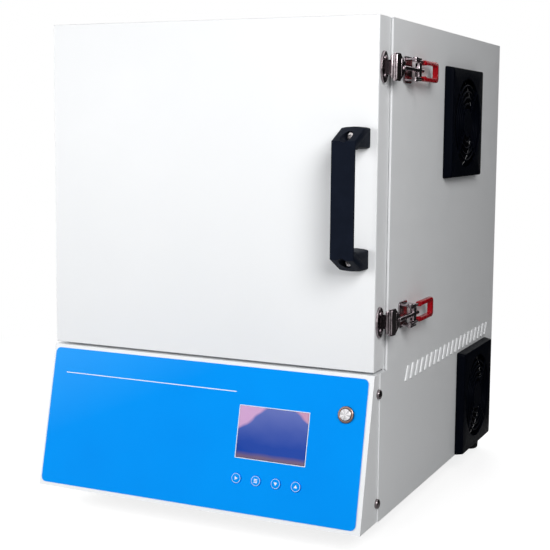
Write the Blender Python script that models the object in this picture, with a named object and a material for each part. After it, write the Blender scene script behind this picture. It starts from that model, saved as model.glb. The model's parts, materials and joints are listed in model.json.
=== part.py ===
# Bench vacuum furnace for heat treatment, in metres.
# X runs to the right, Y to the back and Z up. Every size below is measured from the middle of the
# case in X, from the door's front face in Y and from the underside of the case in Z. The empty
# named furnace carries all the pieces and sets the whole on its feet, centred on the floor.
import math

import bmesh
import bpy
from mathutils import Matrix, Vector

# General fits
GAP = 0.0003
OVERRUN = 0.004
HALF_SHARE = 0.5
QUARTER_SHARE = 0.25
ROUND_STEPS = 20
MIDDLE_STEPS = 16
SMALL_STEPS = 12
CORNER_STEPS = 3
SMOOTH_ANGLE = math.radians(40)
FULL_TURN = math.tau
QUARTER_TURN = FULL_TURN * QUARTER_SHARE
QUARTERS = 4

# Case of folded sheet
CASE_WIDTH = 0.4056
CASE_HEIGHT = 0.5332
CASE_BACK = 0.4715
SHEET = 0.0012
LIP = 0.010
TRAY_LIP = 0.005
SIDE_SEAM = 0.0135
FRAME_THICK = 0.0015
SHELF_ABOVE_FAN = 0.0154

# Door
DOOR_SIDE_MARGIN = 0.0028
DOOR_THICK = 0.0312
DOOR_GAP = 0.0025
DOOR_LIFT = 0.0028
DOOR_EDGE = 0.0012
BACKPLATE = 0.003
PLUG_DEPTH = 0.028
PLUG_CLEARANCE = 0.003
PLUG_TAPER = 0.003

# Sloping control panel
PANEL_HEIGHT = 0.1613
PANEL_REACH = 0.0358
OVERLAY_THICK = 0.0005
OVERLAY_LEFT_RIM = 0.0029
OVERLAY_RIGHT_RIM = 0.0056
OVERLAY_TOP = 0.004
OVERLAY_BOTTOM_RIM = 0.0042
OVERLAY_CORNER = 0.006
WINDOW_FROM_RIGHT = 0.0686
WINDOW_TOP = 0.046
WINDOW_WIDTH = 0.0827
WINDOW_TALL = 0.0565
WINDOW_PROUD = 0.0007
DISPLAY_RIM = 0.004
DISPLAY_THICK = 0.009
BOARD_THICK = 0.0016
BOARD_MARGIN = 0.014
BOARD_PAST_KEYS = 0.0153
STANDOFF_RADIUS = 0.003
STANDOFF_INSET = 0.005
STANDOFF_STEPS = 6
BUTTON_FROM_RIGHT = 0.0273
BUTTON_DOWN = 0.0432
BUTTON_BEZEL_RADIUS = 0.00915
BUTTON_BEZEL_THICK = 0.0022
BUTTON_BARREL_RADIUS = 0.0078
BUTTON_BARREL_LONG = 0.024
BUTTON_CAP_RADIUS = 0.0062
BUTTON_CAP_PROUD = 0.0008
BUTTON_CAP_LONG = 0.008
BUTTON_SLIDE_GAP = 0.0002
BUTTON_TRAVEL = 0.002
BUTTON_CHAMFER = 0.0007
KEY_RADIUS = 0.00565
KEY_FROM_WINDOW_LEFT = 0.0042
KEY_PITCH = 0.0236
KEY_BELOW_WINDOW = 0.0222
KEY_PROUD = 0.0012
KEY_FLANGE = 0.0008
KEY_FLANGE_EXTRA = 0.0008
KEY_STEM_RADIUS = 0.002
KEY_STEM_LONG = 0.0035
KEY_TRAVEL = 0.0005
SWITCH_SIZE = 0.006
KEY_NAMES = ("start_key", "set_key", "down_key", "up_key")

# Vacuum chamber behind the door
FLANGE_FROM_SIDE = 0.0348
FLANGE_FROM_DOOR_EDGE = 0.01805
FLANGE_THICK = 0.012
FLANGE_LAND = 0.0165
CHAMBER_TO_REAR = 0.1265
CHAMBER_WALL = 0.003
SEAL_INSET = 0.0095
SEAL_RADIUS = 0.0025
SEAL_CORNER = 0.012
SEAL_SIDE_GAP = 0.0003
SEAL_SIDES = 8
RAIL_DEPTH = 0.020
RAIL_SIDE_INSET = 0.020
RAIL_FRONT = 0.085
RAIL_FROM_BACK = 0.060
LINER_RECESS = 0.001
LINER_WALL = 0.0567
HEARTH_SIDE_MARGIN = 0.016
HEARTH_THICK = 0.008
HEARTH_FRONT_MARGIN = 0.0125
HEARTH_BACK_MARGIN = 0.013
HEATER_RADIUS = 0.003
HEATER_STANDOFF = 0.0035
HEATER_RUNS = 6
HEATER_TOP_MARGIN = 0.030
HEATER_FRONT_MARGIN = 0.0185
HEATER_BACK_MARGIN = 0.023
HEATER_TAIL_FROM_BACK = 0.025
HEATER_BEND_STEPS = 4
PROBE_RADIUS = 0.003
PROBE_DROP = 0.030
PROBE_REACH = 0.050
PROBE_HEAD_RADIUS = 0.010
PROBE_HEAD_LONG = 0.024
PORT_RADIUS = 0.014
PORT_BORE_RADIUS = 0.011
PORT_BELOW = 0.020
PORT_OUT = 0.030
PORT_RIM_RADIUS = 0.020
PORT_RIM_THICK = 0.004
PORT_RIM_TAPER = 0.003

# Electrical bay
TRANSFORMER_FROM_LEFT = 0.0513
TRANSFORMER_FROM_REAR = 0.1565
TRANSFORMER_SIZE = (0.100, 0.085, 0.085)
COIL_MARGIN = 0.012
COIL_HEIGHT_SHARE = 0.6
REGULATOR_FROM_TRANSFORMER = 0.040
REGULATOR_FROM_REAR = 0.0815
REGULATOR_SIZE = (0.080, 0.120, 0.010)
REGULATOR_FINS = 6
REGULATOR_FIN_THICK = 0.003
REGULATOR_FIN_TALL = 0.035
INLET_FROM_LEFT = 0.0813
INLET_Z = 0.080
INLET_WIDE = 0.050
INLET_TALL = 0.028
INLET_BODY_WIDE = 0.030
INLET_BODY_TALL = 0.022
INLET_FLANGE = 0.003
INLET_DEEP = 0.028
INLET_WALL = 0.002
INLET_SOCKET_DEEP = 0.017
INLET_PIN_PITCH = 0.007
INLET_PIN_WIDE = 0.002
INLET_PIN_TALL = 0.005

# Fans and their guards on the right side
FAN_SIZE = 0.119
GUARD_MARGIN = 0.00715
GUARD_PROUD = 0.0104
GUARD_CHAMFER = 0.009
GUARD_WALL = 0.002
GUARD_CORNER = 0.003
GUARD_HUB_RADIUS = 0.018
GUARD_RING_PITCH = 0.0105
GUARD_SLOT_WIDE = 0.0068
GUARD_RINGS = 3
GUARD_SLOT_STEPS = 5
GUARD_SPOKE_WIDE = 0.007
UPPER_GUARD_FROM_REAR = 0.12085
UPPER_GUARD_FROM_TOP = 0.04025
LOWER_GUARD_FROM_REAR = 0.04005
LOWER_GUARD_LIFT = 0.00045
FAN_THICK = 0.025
FAN_RIM = 0.003
FAN_CORNER = 0.005
FAN_MOTOR_RADIUS = 0.021
FAN_MOTOR_THICK = 0.004
FAN_STRUT_WIDE = 0.006
ROTOR_HUB_RADIUS = 0.019
ROTOR_TIP_GAP = 0.0025
ROTOR_SET_BACK = 0.0015
BLADE_COUNT = 7
BLADE_THICK = 0.0014
BLADE_TWIST = math.radians(38)
BLADE_SWEEP = math.radians(26)
BLADE_STATIONS = 3
BLADE_CHORD_SHARE = 0.78

# Louvres pressed out of the side panels
LOUVRE_COUNT = 20
LOUVRE_FIRST = 0.0963
LOUVRE_LAST_FROM_REAR = 0.0408
LOUVRE_ABOVE_GUARD = 0.0041
LOUVRE_TALL = 0.0163
LOUVRE_LEAN = 0.0082
LOUVRE_PROUD = 0.0018
LOUVRE_DEEP = 0.0042
LOUVRE_SHEET = 0.0007

# Feet
FOOT_HEIGHT = 0.026
FOOT_TOP_RADIUS = 0.014
FOOT_SOLE_RADIUS = 0.0125
FOOT_EDGE = 0.002
FRONT_FOOT_FROM_SIDE = 0.0448
FRONT_FOOT_BACK = 0.050
REAR_FOOT_FROM_SIDE = 0.0198
REAR_FOOT_FROM_REAR = 0.0345

# Door hinges on the left side
HINGE_FROM_DOOR_EDGE = 0.06455
HINGE_TALL = 0.050
HINGE_OFFSET = 0.0057
KNUCKLE_RADIUS = 0.005
HINGE_PIN_RADIUS = 0.0025
HINGE_PIN_GAP = 0.00008
HINGE_HEAD_RADIUS = 0.0038
HINGE_HEAD_THICK = 0.0015
LEAF_THICK = 0.002
LEAF_LONG = 0.023
KNUCKLE_SHARE = 0.36
HINGE_AXIAL_GAP = 0.0004
HINGE_NECK = 0.004

# Door handle
HANDLE_FROM_EDGE = 0.008
HANDLE_WIDE = 0.026
HANDLE_TALL = 0.1485
HANDLE_BELOW_MIDDLE = 0.0029
HANDLE_REACH = 0.0435
HANDLE_BAR = 0.0075
HANDLE_FOOT_TALL = 0.0205
HANDLE_END_RISE = 0.014
HANDLE_END_SLOPE = 0.0145
HANDLE_SOFT = 0.0012
HANDLE_SCREW_HOLE = 0.0056
HANDLE_SCREW_SEAT = 0.020
HANDLE_SCREW_INSET = 0.0103
HANDLE_CROWN = 0.0026
HANDLE_WEB = 0.0035
HANDLE_WAIST = 0.0040
HANDLE_RIM = 0.0016
HANDLE_CROWN_STEPS = 4

# Toggle latches on the right side
LATCH_FROM_DOOR_EDGE = 0.05205
KEEPER_FRONT = 0.0024
KEEPER_LONG = 0.0186
KEEPER_TALL = 0.033
KEEPER_THICK = 0.0026
KEEPER_NECK_TALL = 0.015
KEEPER_NECK_THICK = 0.0018
KEEPER_SCREW_PITCH = 0.018
KEEPER_SCREW_RADIUS = 0.0026
KEEPER_SCREW_PROUD = 0.0012
ROLL_RADIUS = 0.0020
ROLL_OUT = 0.0102
ROLL_FROM_PLATE_FRONT = 0.0158
CLAW_KNEE_FROM_ROLL = 0.0025
CLAW_GAP = 0.0004
CLAW_THICK = 0.0017
CLAW_TALL = 0.0285
CLAW_WRAP = math.radians(90)
CLAW_WRAP_STEPS = 4
CLAW_STEP_FROM_KNEE = 0.0020
YOKE_BEFORE_PIVOT = 0.0305
YOKE_TIP_TALL = 0.007
YOKE_TAPER_FROM_STEP = 0.0006
ROD_RADIUS = 0.0024
ROD_OUT = 0.0140
ROD_IN_YOKE = 0.005
ROD_PAST_TRUNNION = 0.014
TRUNNION_RADIUS = 0.0036
TRUNNION_SIDE_GAP = 0.0008
TRUNNION_PIN_RADIUS = 0.0016
LATCH_PIN_GAP = 0.00008
LEVER_PIVOT_BACK = 0.0705
LEVER_ARM = 0.0140
LEVER_PIVOT_OUT = 0.0150
LEVER_ARM_TALL = 0.0182
LEVER_STRIP = 0.0018
LEVER_WIDE = 0.0064
LEVER_CORE_WIDE = 0.0030
LEVER_END_COVER = 0.0021
GRIP_FROM_TRUNNION = 0.014
GRIP_LONG = 0.050
GRIP_SKIN = 0.0011
GRIP_INNER_SKIN = 0.0007
GRIP_FRONT_WALL = 0.0045
GRIP_END_WALL = 0.0053
GRIP_THICK = 0.0052
GRIP_CORNER = 0.0045
BRACKET_BEFORE_PIVOT = 0.0052
BRACKET_AFTER_PIVOT = 0.0205
BRACKET_SIDE_MARGIN = 0.00215
BRACKET_BASE = 0.0015
EAR_THICK = 0.0018
EAR_REACH = 0.0036
RIVET_RADIUS = 0.0017
RIVET_HEAD_RADIUS = 0.0028
RIVET_HEAD_THICK = 0.0010

# Places worked out from the sizes above
CASE_HALF = CASE_WIDTH * HALF_SHARE
INSIDE_HALF = CASE_HALF - SHEET - GAP
DOOR_HALF = CASE_HALF - DOOR_SIDE_MARGIN
FRAME_FRONT = DOOR_THICK + DOOR_GAP
DOOR_LOW = PANEL_HEIGHT + DOOR_LIFT
CENTRE_Z = (DOOR_LOW + CASE_HEIGHT) * HALF_SHARE
DOOR_HALF_TALL = CASE_HEIGHT - CENTRE_Z
PANEL_ANGLE = math.atan(PANEL_REACH / PANEL_HEIGHT)
SLOPE_LONG = PANEL_HEIGHT / math.cos(PANEL_ANGLE)
WINDOW_LEFT = INSIDE_HALF - WINDOW_FROM_RIGHT - WINDOW_WIDTH
BUTTON_X = INSIDE_HALF - BUTTON_FROM_RIGHT
KEY_FIRST_X = WINDOW_LEFT + KEY_FROM_WINDOW_LEFT
KEY_DOWN = WINDOW_TOP + WINDOW_TALL + KEY_BELOW_WINDOW
BOARD_BOTTOM = KEY_DOWN + BOARD_PAST_KEYS
FLANGE_WIDE = INSIDE_HALF - FLANGE_FROM_SIDE
FLANGE_TALL = DOOR_HALF_TALL - FLANGE_FROM_DOOR_EDGE
CHAMBER_BACK = CASE_BACK - CHAMBER_TO_REAR
CHAMBER_LOW = CENTRE_Z - FLANGE_TALL + FLANGE_LAND
LINER_INSET = FLANGE_LAND + CHAMBER_WALL + GAP
CAVITY_INSET = LINER_INSET + LINER_WALL
CAVITY_WIDE = FLANGE_WIDE - CAVITY_INSET
CAVITY_TALL = FLANGE_TALL - CAVITY_INSET
CAVITY_BACK = CHAMBER_BACK - CHAMBER_WALL - GAP - LINER_WALL
PLUG_BACK = DOOR_THICK + GAP + PLUG_DEPTH
HEATER_REACH = CAVITY_TALL - HEATER_TOP_MARGIN
HEATER_PITCH = HEATER_REACH / HALF_SHARE / (HEATER_RUNS - 1)
HEATER_X = CAVITY_WIDE - HEATER_STANDOFF - HEATER_RADIUS
HEATER_FRONT = PLUG_BACK + HEATER_FRONT_MARGIN
HEATER_BACK = CAVITY_BACK - HEATER_BACK_MARGIN
HEATER_TAIL = CHAMBER_BACK - HEATER_TAIL_FROM_BACK
PROBE_Z = CENTRE_Z + CAVITY_TALL - PROBE_DROP
PROBE_TIP = CAVITY_BACK - PROBE_REACH
PORT_Z = CENTRE_Z - PORT_BELOW
INLET_X = -INSIDE_HALF + INLET_FROM_LEFT
GUARD_HALF = FAN_SIZE * HALF_SHARE + GUARD_MARGIN
FAN_BORE_RADIUS = FAN_SIZE * HALF_SHARE - FAN_RIM
UPPER_FAN_BACK = CASE_BACK - UPPER_GUARD_FROM_REAR - GUARD_HALF
UPPER_FAN_HEIGHT = CASE_HEIGHT - UPPER_GUARD_FROM_TOP - GUARD_HALF
LOWER_FAN_BACK = CASE_BACK - LOWER_GUARD_FROM_REAR - GUARD_HALF
LOWER_FAN_HEIGHT = LOWER_GUARD_LIFT + GUARD_HALF
SHELF_HEIGHT = LOWER_FAN_HEIGHT + FAN_SIZE * HALF_SHARE + SHELF_ABOVE_FAN
LOUVRE_PITCH = (CASE_BACK - LOUVRE_LAST_FROM_REAR - LOUVRE_FIRST) / (LOUVRE_COUNT - 1)
LOUVRE_LOW = LOWER_FAN_HEIGHT + GUARD_HALF + LOUVRE_ABOVE_GUARD
LOUVRE_HEIGHT = LOUVRE_LOW + LOUVRE_TALL * HALF_SHARE
FRONT_FOOT_X = CASE_HALF - FRONT_FOOT_FROM_SIDE
REAR_FOOT_X = CASE_HALF - REAR_FOOT_FROM_SIDE
REAR_FOOT_BACK = CASE_BACK - REAR_FOOT_FROM_REAR
HINGE_X = -(CASE_HALF + HINGE_OFFSET)
HINGE_Y = (DOOR_THICK + FRAME_FRONT) * HALF_SHARE
HINGE_SPREAD = DOOR_HALF_TALL - HINGE_FROM_DOOR_EDGE
HANDLE_LEFT = DOOR_HALF - HANDLE_FROM_EDGE - HANDLE_WIDE
HANDLE_LOW = CENTRE_Z - HANDLE_BELOW_MIDDLE - HANDLE_TALL * HALF_SHARE
HANDLE_HIGH = HANDLE_LOW + HANDLE_TALL
LATCH_SPREAD = DOOR_HALF_TALL - LATCH_FROM_DOOR_EDGE
KEEPER_BACK = KEEPER_FRONT + KEEPER_LONG
ROLL_BACK = KEEPER_FRONT + ROLL_FROM_PLATE_FRONT
CLAW_KNEE_BACK = ROLL_BACK + CLAW_KNEE_FROM_ROLL
CLAW_STEP_BACK = CLAW_KNEE_BACK + CLAW_STEP_FROM_KNEE
YOKE_TAPER_START = CLAW_STEP_BACK + YOKE_TAPER_FROM_STEP
YOKE_BACK = LEVER_PIVOT_BACK - YOKE_BEFORE_PIVOT
LEVER_X = DOOR_HALF + LEVER_PIVOT_OUT
ROD_X = DOOR_HALF + ROD_OUT
TRUNNION_Y = LEVER_PIVOT_BACK + LEVER_ARM
ROD_START = YOKE_BACK - ROD_IN_YOKE
ROD_END = TRUNNION_Y + ROD_PAST_TRUNNION
ARM_OUTER = (LEVER_ARM_TALL + LEVER_STRIP) * HALF_SHARE
ARM_INNER = (LEVER_ARM_TALL - LEVER_STRIP) * HALF_SHARE
TRUNNION_HALF = ARM_INNER - TRUNNION_SIDE_GAP
GRIP_START = TRUNNION_Y + GRIP_FROM_TRUNNION
GRIP_END = GRIP_START + GRIP_LONG
GRIP_HALF = ARM_OUTER + GRIP_SKIN
GRIP_HOLE_HALF = ARM_INNER - GAP - GRIP_INNER_SKIN
GRIP_HOLE_START = GRIP_START + GRIP_FRONT_WALL
GRIP_HOLE_END = GRIP_END - GRIP_END_WALL
LEVER_END = GRIP_END - LEVER_END_COVER
BRACKET_FRONT = LEVER_PIVOT_BACK - BRACKET_BEFORE_PIVOT
BRACKET_BACK = LEVER_PIVOT_BACK + BRACKET_AFTER_PIVOT
EAR_INNER = ARM_OUTER + GAP
BRACKET_HALF = EAR_INNER + EAR_THICK + BRACKET_SIDE_MARGIN
RIGHT_REACH = LEVER_X + EAR_REACH
LEFT_REACH = KNUCKLE_RADIUS - HINGE_X
BACK_REACH = CASE_BACK + PORT_OUT


def clear_scene():
    for thing in list(bpy.data.objects):
        bpy.data.objects.remove(thing, do_unlink=True)


def finish_material(name, colour, roughness, metallic=0.0):
    made = bpy.data.materials.get(name)
    if made:
        return made
    made = bpy.data.materials.new(name)
    made.use_nodes = True
    shader = made.node_tree.nodes["Principled BSDF"]
    shader.inputs["Base Color"].default_value = (*colour, 1.0)
    shader.inputs["Roughness"].default_value = roughness
    shader.inputs["Metallic"].default_value = metallic
    return made


def white_paint():
    return finish_material("white_paint", (0.88, 0.89, 0.90), 0.4)


def blue_film():
    return finish_material("blue_film", (0.0, 0.30, 0.90), 0.35)


def chrome():
    return finish_material("chrome", (0.75, 0.74, 0.74), 0.12, 1.0)


def bright_steel():
    return finish_material("bright_steel", (0.62, 0.62, 0.62), 0.32, 1.0)


def plain_steel():
    return finish_material("plain_steel", (0.45, 0.46, 0.47), 0.45, 1.0)


def black_plastic():
    return finish_material("black_plastic", (0.012, 0.013, 0.020), 0.42)


def black_rubber():
    return finish_material("black_rubber", (0.015, 0.015, 0.015), 0.8)


def red_dip():
    return finish_material("red_dip", (0.50, 0.0, 0.012), 0.3)


def white_fibre():
    return finish_material("white_fibre", (0.85, 0.83, 0.78), 0.95)


def fired_clay():
    return finish_material("fired_clay", (0.70, 0.64, 0.55), 0.85)


def green_board():
    return finish_material("green_board", (0.02, 0.18, 0.07), 0.5)


def indigo_glass():
    return finish_material("indigo_glass", (0.03, 0.05, 0.30), 0.1)


def heating_wire():
    return finish_material("heating_wire", (0.22, 0.20, 0.19), 0.55, 1.0)


def lacquered_iron():
    return finish_material("lacquered_iron", (0.18, 0.13, 0.09), 0.5)


def red_seal():
    return finish_material("red_seal", (0.30, 0.03, 0.02), 0.6)


def add_object(name, shape):
    shape.normal_update()
    bmesh.ops.recalc_face_normals(shape, faces=shape.faces)
    mesh = bpy.data.meshes.new(name)
    shape.to_mesh(mesh)
    shape.free()
    made = bpy.data.objects.new(name, mesh)
    bpy.context.scene.collection.objects.link(made)
    return made


def along(axis, first, second, third):
    if axis == "X":
        return Vector((third, first, second))
    if axis == "Y":
        return Vector((first, third, second))
    return Vector((first, second, third))


def prism(name, outline, axis, start, end):
    # Extrudes an outline, given across the axis, from start to end along it.
    shape = bmesh.new()
    ring = [shape.verts.new(along(axis, a, b, start)) for a, b in outline]
    face = shape.faces.new(ring)
    grown = bmesh.ops.extrude_face_region(shape, geom=[face])
    moved = [v for v in grown["geom"] if isinstance(v, bmesh.types.BMVert)]
    bmesh.ops.translate(shape, verts=moved, vec=along(axis, 0, 0, end - start))
    return add_object(name, shape)


def rectangle(low_a, high_a, low_b, high_b):
    return [(low_a, low_b), (high_a, low_b), (high_a, high_b), (low_a, high_b)]


def block(name, x, y, z):
    return prism(name, rectangle(x[0], x[1], y[0], y[1]), "Z", z[0], z[1])


def rounded(low_a, high_a, low_b, high_b, radius, steps=CORNER_STEPS):
    # Rectangle whose corners are arcs, going round from the low corner.
    points = []
    corners = ((low_a, low_b, 2), (high_a, low_b, 3), (high_a, high_b, 0), (low_a, high_b, 1))
    for a, b, quarter in corners:
        centre_a = a + radius if a == low_a else a - radius
        centre_b = b + radius if b == low_b else b - radius
        for step in range(steps + 1):
            turn = (quarter + step / steps) * QUARTER_TURN
            points.append((centre_a + radius * math.cos(turn), centre_b + radius * math.sin(turn)))
    return points


def circle(radius, centre=(0, 0), steps=ROUND_STEPS):
    turns = [FULL_TURN * step / steps for step in range(steps)]
    return [(centre[0] + radius * math.cos(t), centre[1] + radius * math.sin(t)) for t in turns]


def oval(half_a, half_b, centre, steps=ROUND_STEPS):
    turns = [FULL_TURN * step / steps for step in range(steps)]
    return [(centre[0] + half_a * math.cos(t), centre[1] + half_b * math.sin(t)) for t in turns]


def rod(name, radius, axis, centre, start, end, steps=SMALL_STEPS):
    made = prism(name, circle(radius, centre, steps), axis, start, end)
    return smooth(made)


def turned(name, profile, axis, centre, steps=ROUND_STEPS):
    # Spins a profile of (radius, height) points round an axis through centre.
    shape = bmesh.new()
    points = [shape.verts.new(along(axis, centre[0] + r, centre[1], h)) for r, h in profile]
    edges = [shape.edges.new(pair) for pair in zip(points, points[1:])]
    if profile[0][0] > 0:
        edges.append(shape.edges.new((points[-1], points[0])))
    bmesh.ops.spin(shape, geom=points + edges, cent=along(axis, centre[0], centre[1], 0),
                   axis=along(axis, 0, 0, 1), angle=FULL_TURN, steps=steps, use_merge=True)
    bmesh.ops.remove_doubles(shape, verts=shape.verts, dist=GAP / ROUND_STEPS)
    return smooth(add_object(name, shape))


def smooth(made):
    made.data.shade_smooth()
    made.data.set_sharp_from_angle(angle=SMOOTH_ANGLE)
    return made


def round_edges(made, width, chosen, segments=2):
    # Rounds the edges for which chosen(middle, direction) is true.
    shape = bmesh.new()
    shape.from_mesh(made.data)
    picked = []
    for edge in shape.edges:
        first, second = (v.co for v in edge.verts)
        if chosen((first + second) * HALF_SHARE, (second - first).normalized()):
            picked.append(edge)
    bmesh.ops.bevel(shape, geom=picked, offset=width, segments=segments, affect="EDGES",
                    profile=HALF_SHARE, clamp_overlap=True)
    shape.to_mesh(made.data)
    shape.free()
    return smooth(made)


def every_edge(middle, direction):
    return True


def gather(pieces):
    # Puts pieces that don't touch into one object, as separate solids.
    shape = bmesh.new()
    for piece in pieces:
        shape.from_mesh(piece.data)
        if piece != pieces[0]:
            bpy.data.objects.remove(piece, do_unlink=True)
    shape.to_mesh(pieces[0].data)
    shape.free()
    return pieces[0]


def combine(target, tools, operation):
    # Applies one Boolean of the target with each tool and removes the tools.
    for tool in tools:
        tool.hide_render = True
        tool.display_type = "WIRE"
        change = target.modifiers.new(operation.lower(), "BOOLEAN")
        change.operation = operation
        change.solver = "EXACT"
        change.object = tool
        bpy.context.view_layer.objects.active = target
        bpy.ops.object.modifier_apply(modifier=change.name)
        bpy.data.objects.remove(tool, do_unlink=True)
    return target


def cut(target, *tools):
    return combine(target, tools, "DIFFERENCE")


def weld(target, *tools):
    return combine(target, tools, "UNION")


def dress(made, material, parent, smoothed=False):
    made.data.materials.clear()
    made.data.materials.append(material)
    for polygon in made.data.polygons:
        polygon.material_index = 0
    if smoothed:
        smooth(made)
    # The mesh is given in case places, so it is moved back by the parent's own place.
    made.data.transform(Matrix.Translation(-Vector(parent.get("place", (0, 0, 0)))))
    made.parent = parent
    return made


def pivot(name, place, parent):
    made = bpy.data.objects.new(name, None)
    made.parent = parent
    made.location = Vector(place) - Vector(parent.get("place", (0, 0, 0)))
    made["place"] = place
    bpy.context.scene.collection.objects.link(made)
    return made


def furnace_empty():
    made = bpy.data.objects.new("furnace", None)
    middle_x = (RIGHT_REACH - LEFT_REACH) * HALF_SHARE
    middle_y = (BACK_REACH - HANDLE_REACH) * HALF_SHARE
    made.location = (-middle_x, -middle_y, FOOT_HEIGHT)
    bpy.context.scene.collection.objects.link(made)
    return made


def panel_matrix():
    # Takes (across, up the slope, out of the slope) to case places, from the panel's top edge.
    return Matrix.Translation((0, 0, PANEL_HEIGHT)) @ Matrix.Rotation(
        math.pi * HALF_SHARE - PANEL_ANGLE, 4, "X")


def on_panel(made):
    made.data.transform(panel_matrix())
    return made


def panel_place(across, down):
    return tuple(panel_matrix() @ Vector((across, -down, 0)))


# Case


def base_tray(root):
    front = FRAME_FRONT + FRAME_THICK + GAP
    back = CASE_BACK - SHEET - GAP
    tray = block("base_tray", (-INSIDE_HALF, INSIDE_HALF), (front, back), (0, TRAY_LIP))
    inner = INSIDE_HALF - SHEET
    hollow = block("hollow", (-inner, inner), (front + SHEET, back - SHEET), (SHEET, TRAY_LIP + OVERRUN))
    return dress(cut(tray, hollow), white_paint(), root)


def side_outline():
    return [(SIDE_SEAM, 0), (CASE_BACK, 0), (CASE_BACK, CASE_HEIGHT), (FRAME_FRONT, CASE_HEIGHT),
            (FRAME_FRONT, PANEL_HEIGHT), (SIDE_SEAM, PANEL_HEIGHT)]


def leaning_bar(name, back, deep, tall, low_x, high_x, side):
    # Upright bar with its top leaning to the rear, as the louvres do.
    lean = LOUVRE_LEAN * tall / LOUVRE_TALL * HALF_SHARE
    low = LOUVRE_HEIGHT - tall * HALF_SHARE
    high = LOUVRE_HEIGHT + tall * HALF_SHARE
    outline = [(back - lean, low), (back - lean + deep, low),
               (back + lean + deep, high), (back + lean, high)]
    return prism(name, outline, "X", side * low_x, side * high_x)


def hood(back, side, deep, proud, shell):
    # Wedge that rises from the sheet at its front edge to full height at its rear edge.
    bar = leaning_bar("hood", back, deep, LOUVRE_TALL - shell * 2, CASE_HALF - SHEET, CASE_HALF, side)
    shape = bmesh.new()
    shape.from_mesh(bar.data)
    outside = [v for v in shape.verts if abs(v.co.x) > CASE_HALF - SHEET * HALF_SHARE]
    outside.sort(key=lambda v: v.co.y - (v.co.z - LOUVRE_HEIGHT) * LOUVRE_LEAN / LOUVRE_TALL)
    for vert in outside[2:]:
        vert.co.x = side * (CASE_HALF + proud)
    for vert in outside[:2]:
        vert.co.x = side * (CASE_HALF + proud * HALF_SHARE)
        vert.co.y += deep * QUARTER_SHARE
    shape.to_mesh(bar.data)
    shape.free()
    return bar


def press_louvres(panel, side):
    places = [LOUVRE_FIRST + LOUVRE_PITCH * step for step in range(LOUVRE_COUNT)]
    hoods = [hood(place, side, LOUVRE_DEEP, LOUVRE_PROUD, 0) for place in places]
    weld(panel, gather(hoods))
    hollows = []
    for place in places:
        # The inner wedge leaves the rear edge open and a wall of sheet over the rest.
        start = place + LOUVRE_SHEET
        hollow = hood(start, side, LOUVRE_DEEP, LOUVRE_PROUD - LOUVRE_SHEET, LOUVRE_SHEET)
        deeper = hollow.data
        for vert in deeper.vertices:
            if abs(vert.co.x) < CASE_HALF:
                vert.co.x = side * (CASE_HALF - SHEET - OVERRUN)
        hollows.append(hollow)
    return cut(panel, gather(hollows))


def fan_hole(back, height):
    return prism("hole", circle(FAN_BORE_RADIUS, (back, height), ROUND_STEPS), "X",
                 CASE_HALF - SHEET - OVERRUN, CASE_HALF + OVERRUN)


def side_panels(root):
    left = prism("left_side_panel", side_outline(), "X", -CASE_HALF, -CASE_HALF + SHEET)
    press_louvres(left, -1)
    dress(left, white_paint(), root)
    right = prism("right_side_panel", side_outline(), "X", CASE_HALF - SHEET, CASE_HALF)
    press_louvres(right, 1)
    cut(right, fan_hole(UPPER_FAN_BACK, UPPER_FAN_HEIGHT), fan_hole(LOWER_FAN_BACK, LOWER_FAN_HEIGHT))
    dress(right, white_paint(), root)


def top_cover(root):
    cover = block("top_cover", (-INSIDE_HALF, INSIDE_HALF), (FRAME_FRONT, CASE_BACK),
                  (CASE_HEIGHT - LIP, CASE_HEIGHT))
    inner = INSIDE_HALF - SHEET
    hollow = block("hollow", (-inner, inner), (FRAME_FRONT - OVERRUN, CASE_BACK + OVERRUN),
                   (CASE_HEIGHT - LIP - OVERRUN, CASE_HEIGHT - SHEET))
    return dress(cut(cover, hollow), white_paint(), root)


def rear_panel(root):
    # The panel lies between the top cover's lips and over the base tray's rear lip.
    half = INSIDE_HALF - SHEET - GAP
    panel = block("rear_panel", (-half, half), (CASE_BACK - SHEET, CASE_BACK),
                  (0, CASE_HEIGHT - SHEET - GAP))
    port = rod("hole", PORT_RADIUS + GAP, "Y", (0, PORT_Z), CASE_BACK - OVERRUN,
               CASE_BACK + OVERRUN, ROUND_STEPS)
    wide = INLET_BODY_WIDE * HALF_SHARE + GAP
    tall = INLET_BODY_TALL * HALF_SHARE + GAP
    socket = block("hole", (INLET_X - wide, INLET_X + wide),
                   (CASE_BACK - OVERRUN, CASE_BACK + OVERRUN), (INLET_Z - tall, INLET_Z + tall))
    return dress(cut(panel, port, socket), white_paint(), root)


def front_frame(root):
    frame = block("front_frame", (-INSIDE_HALF + SHEET + GAP, INSIDE_HALF - SHEET - GAP),
                  (FRAME_FRONT, FRAME_FRONT + FRAME_THICK),
                  (PANEL_HEIGHT + GAP, CASE_HEIGHT - SHEET - GAP))
    hole = prism("hole", mouth(-GAP), "Y", FRAME_FRONT - OVERRUN, FRAME_FRONT + OVERRUN)
    return dress(cut(frame, hole), white_paint(), root)


def mid_shelf(root):
    front = FRAME_FRONT + FRAME_THICK + GAP
    back = CASE_BACK - SHEET - GAP
    shelf = block("mid_shelf", (-INSIDE_HALF, INSIDE_HALF), (front, back),
                  (SHELF_HEIGHT - TRAY_LIP, SHELF_HEIGHT))
    inner = INSIDE_HALF - SHEET
    hollow = block("hollow", (-inner, inner), (front + SHEET, back - SHEET),
                   (SHELF_HEIGHT - TRAY_LIP - OVERRUN, SHELF_HEIGHT - SHEET))
    return dress(cut(shelf, hollow), plain_steel(), root)


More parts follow.
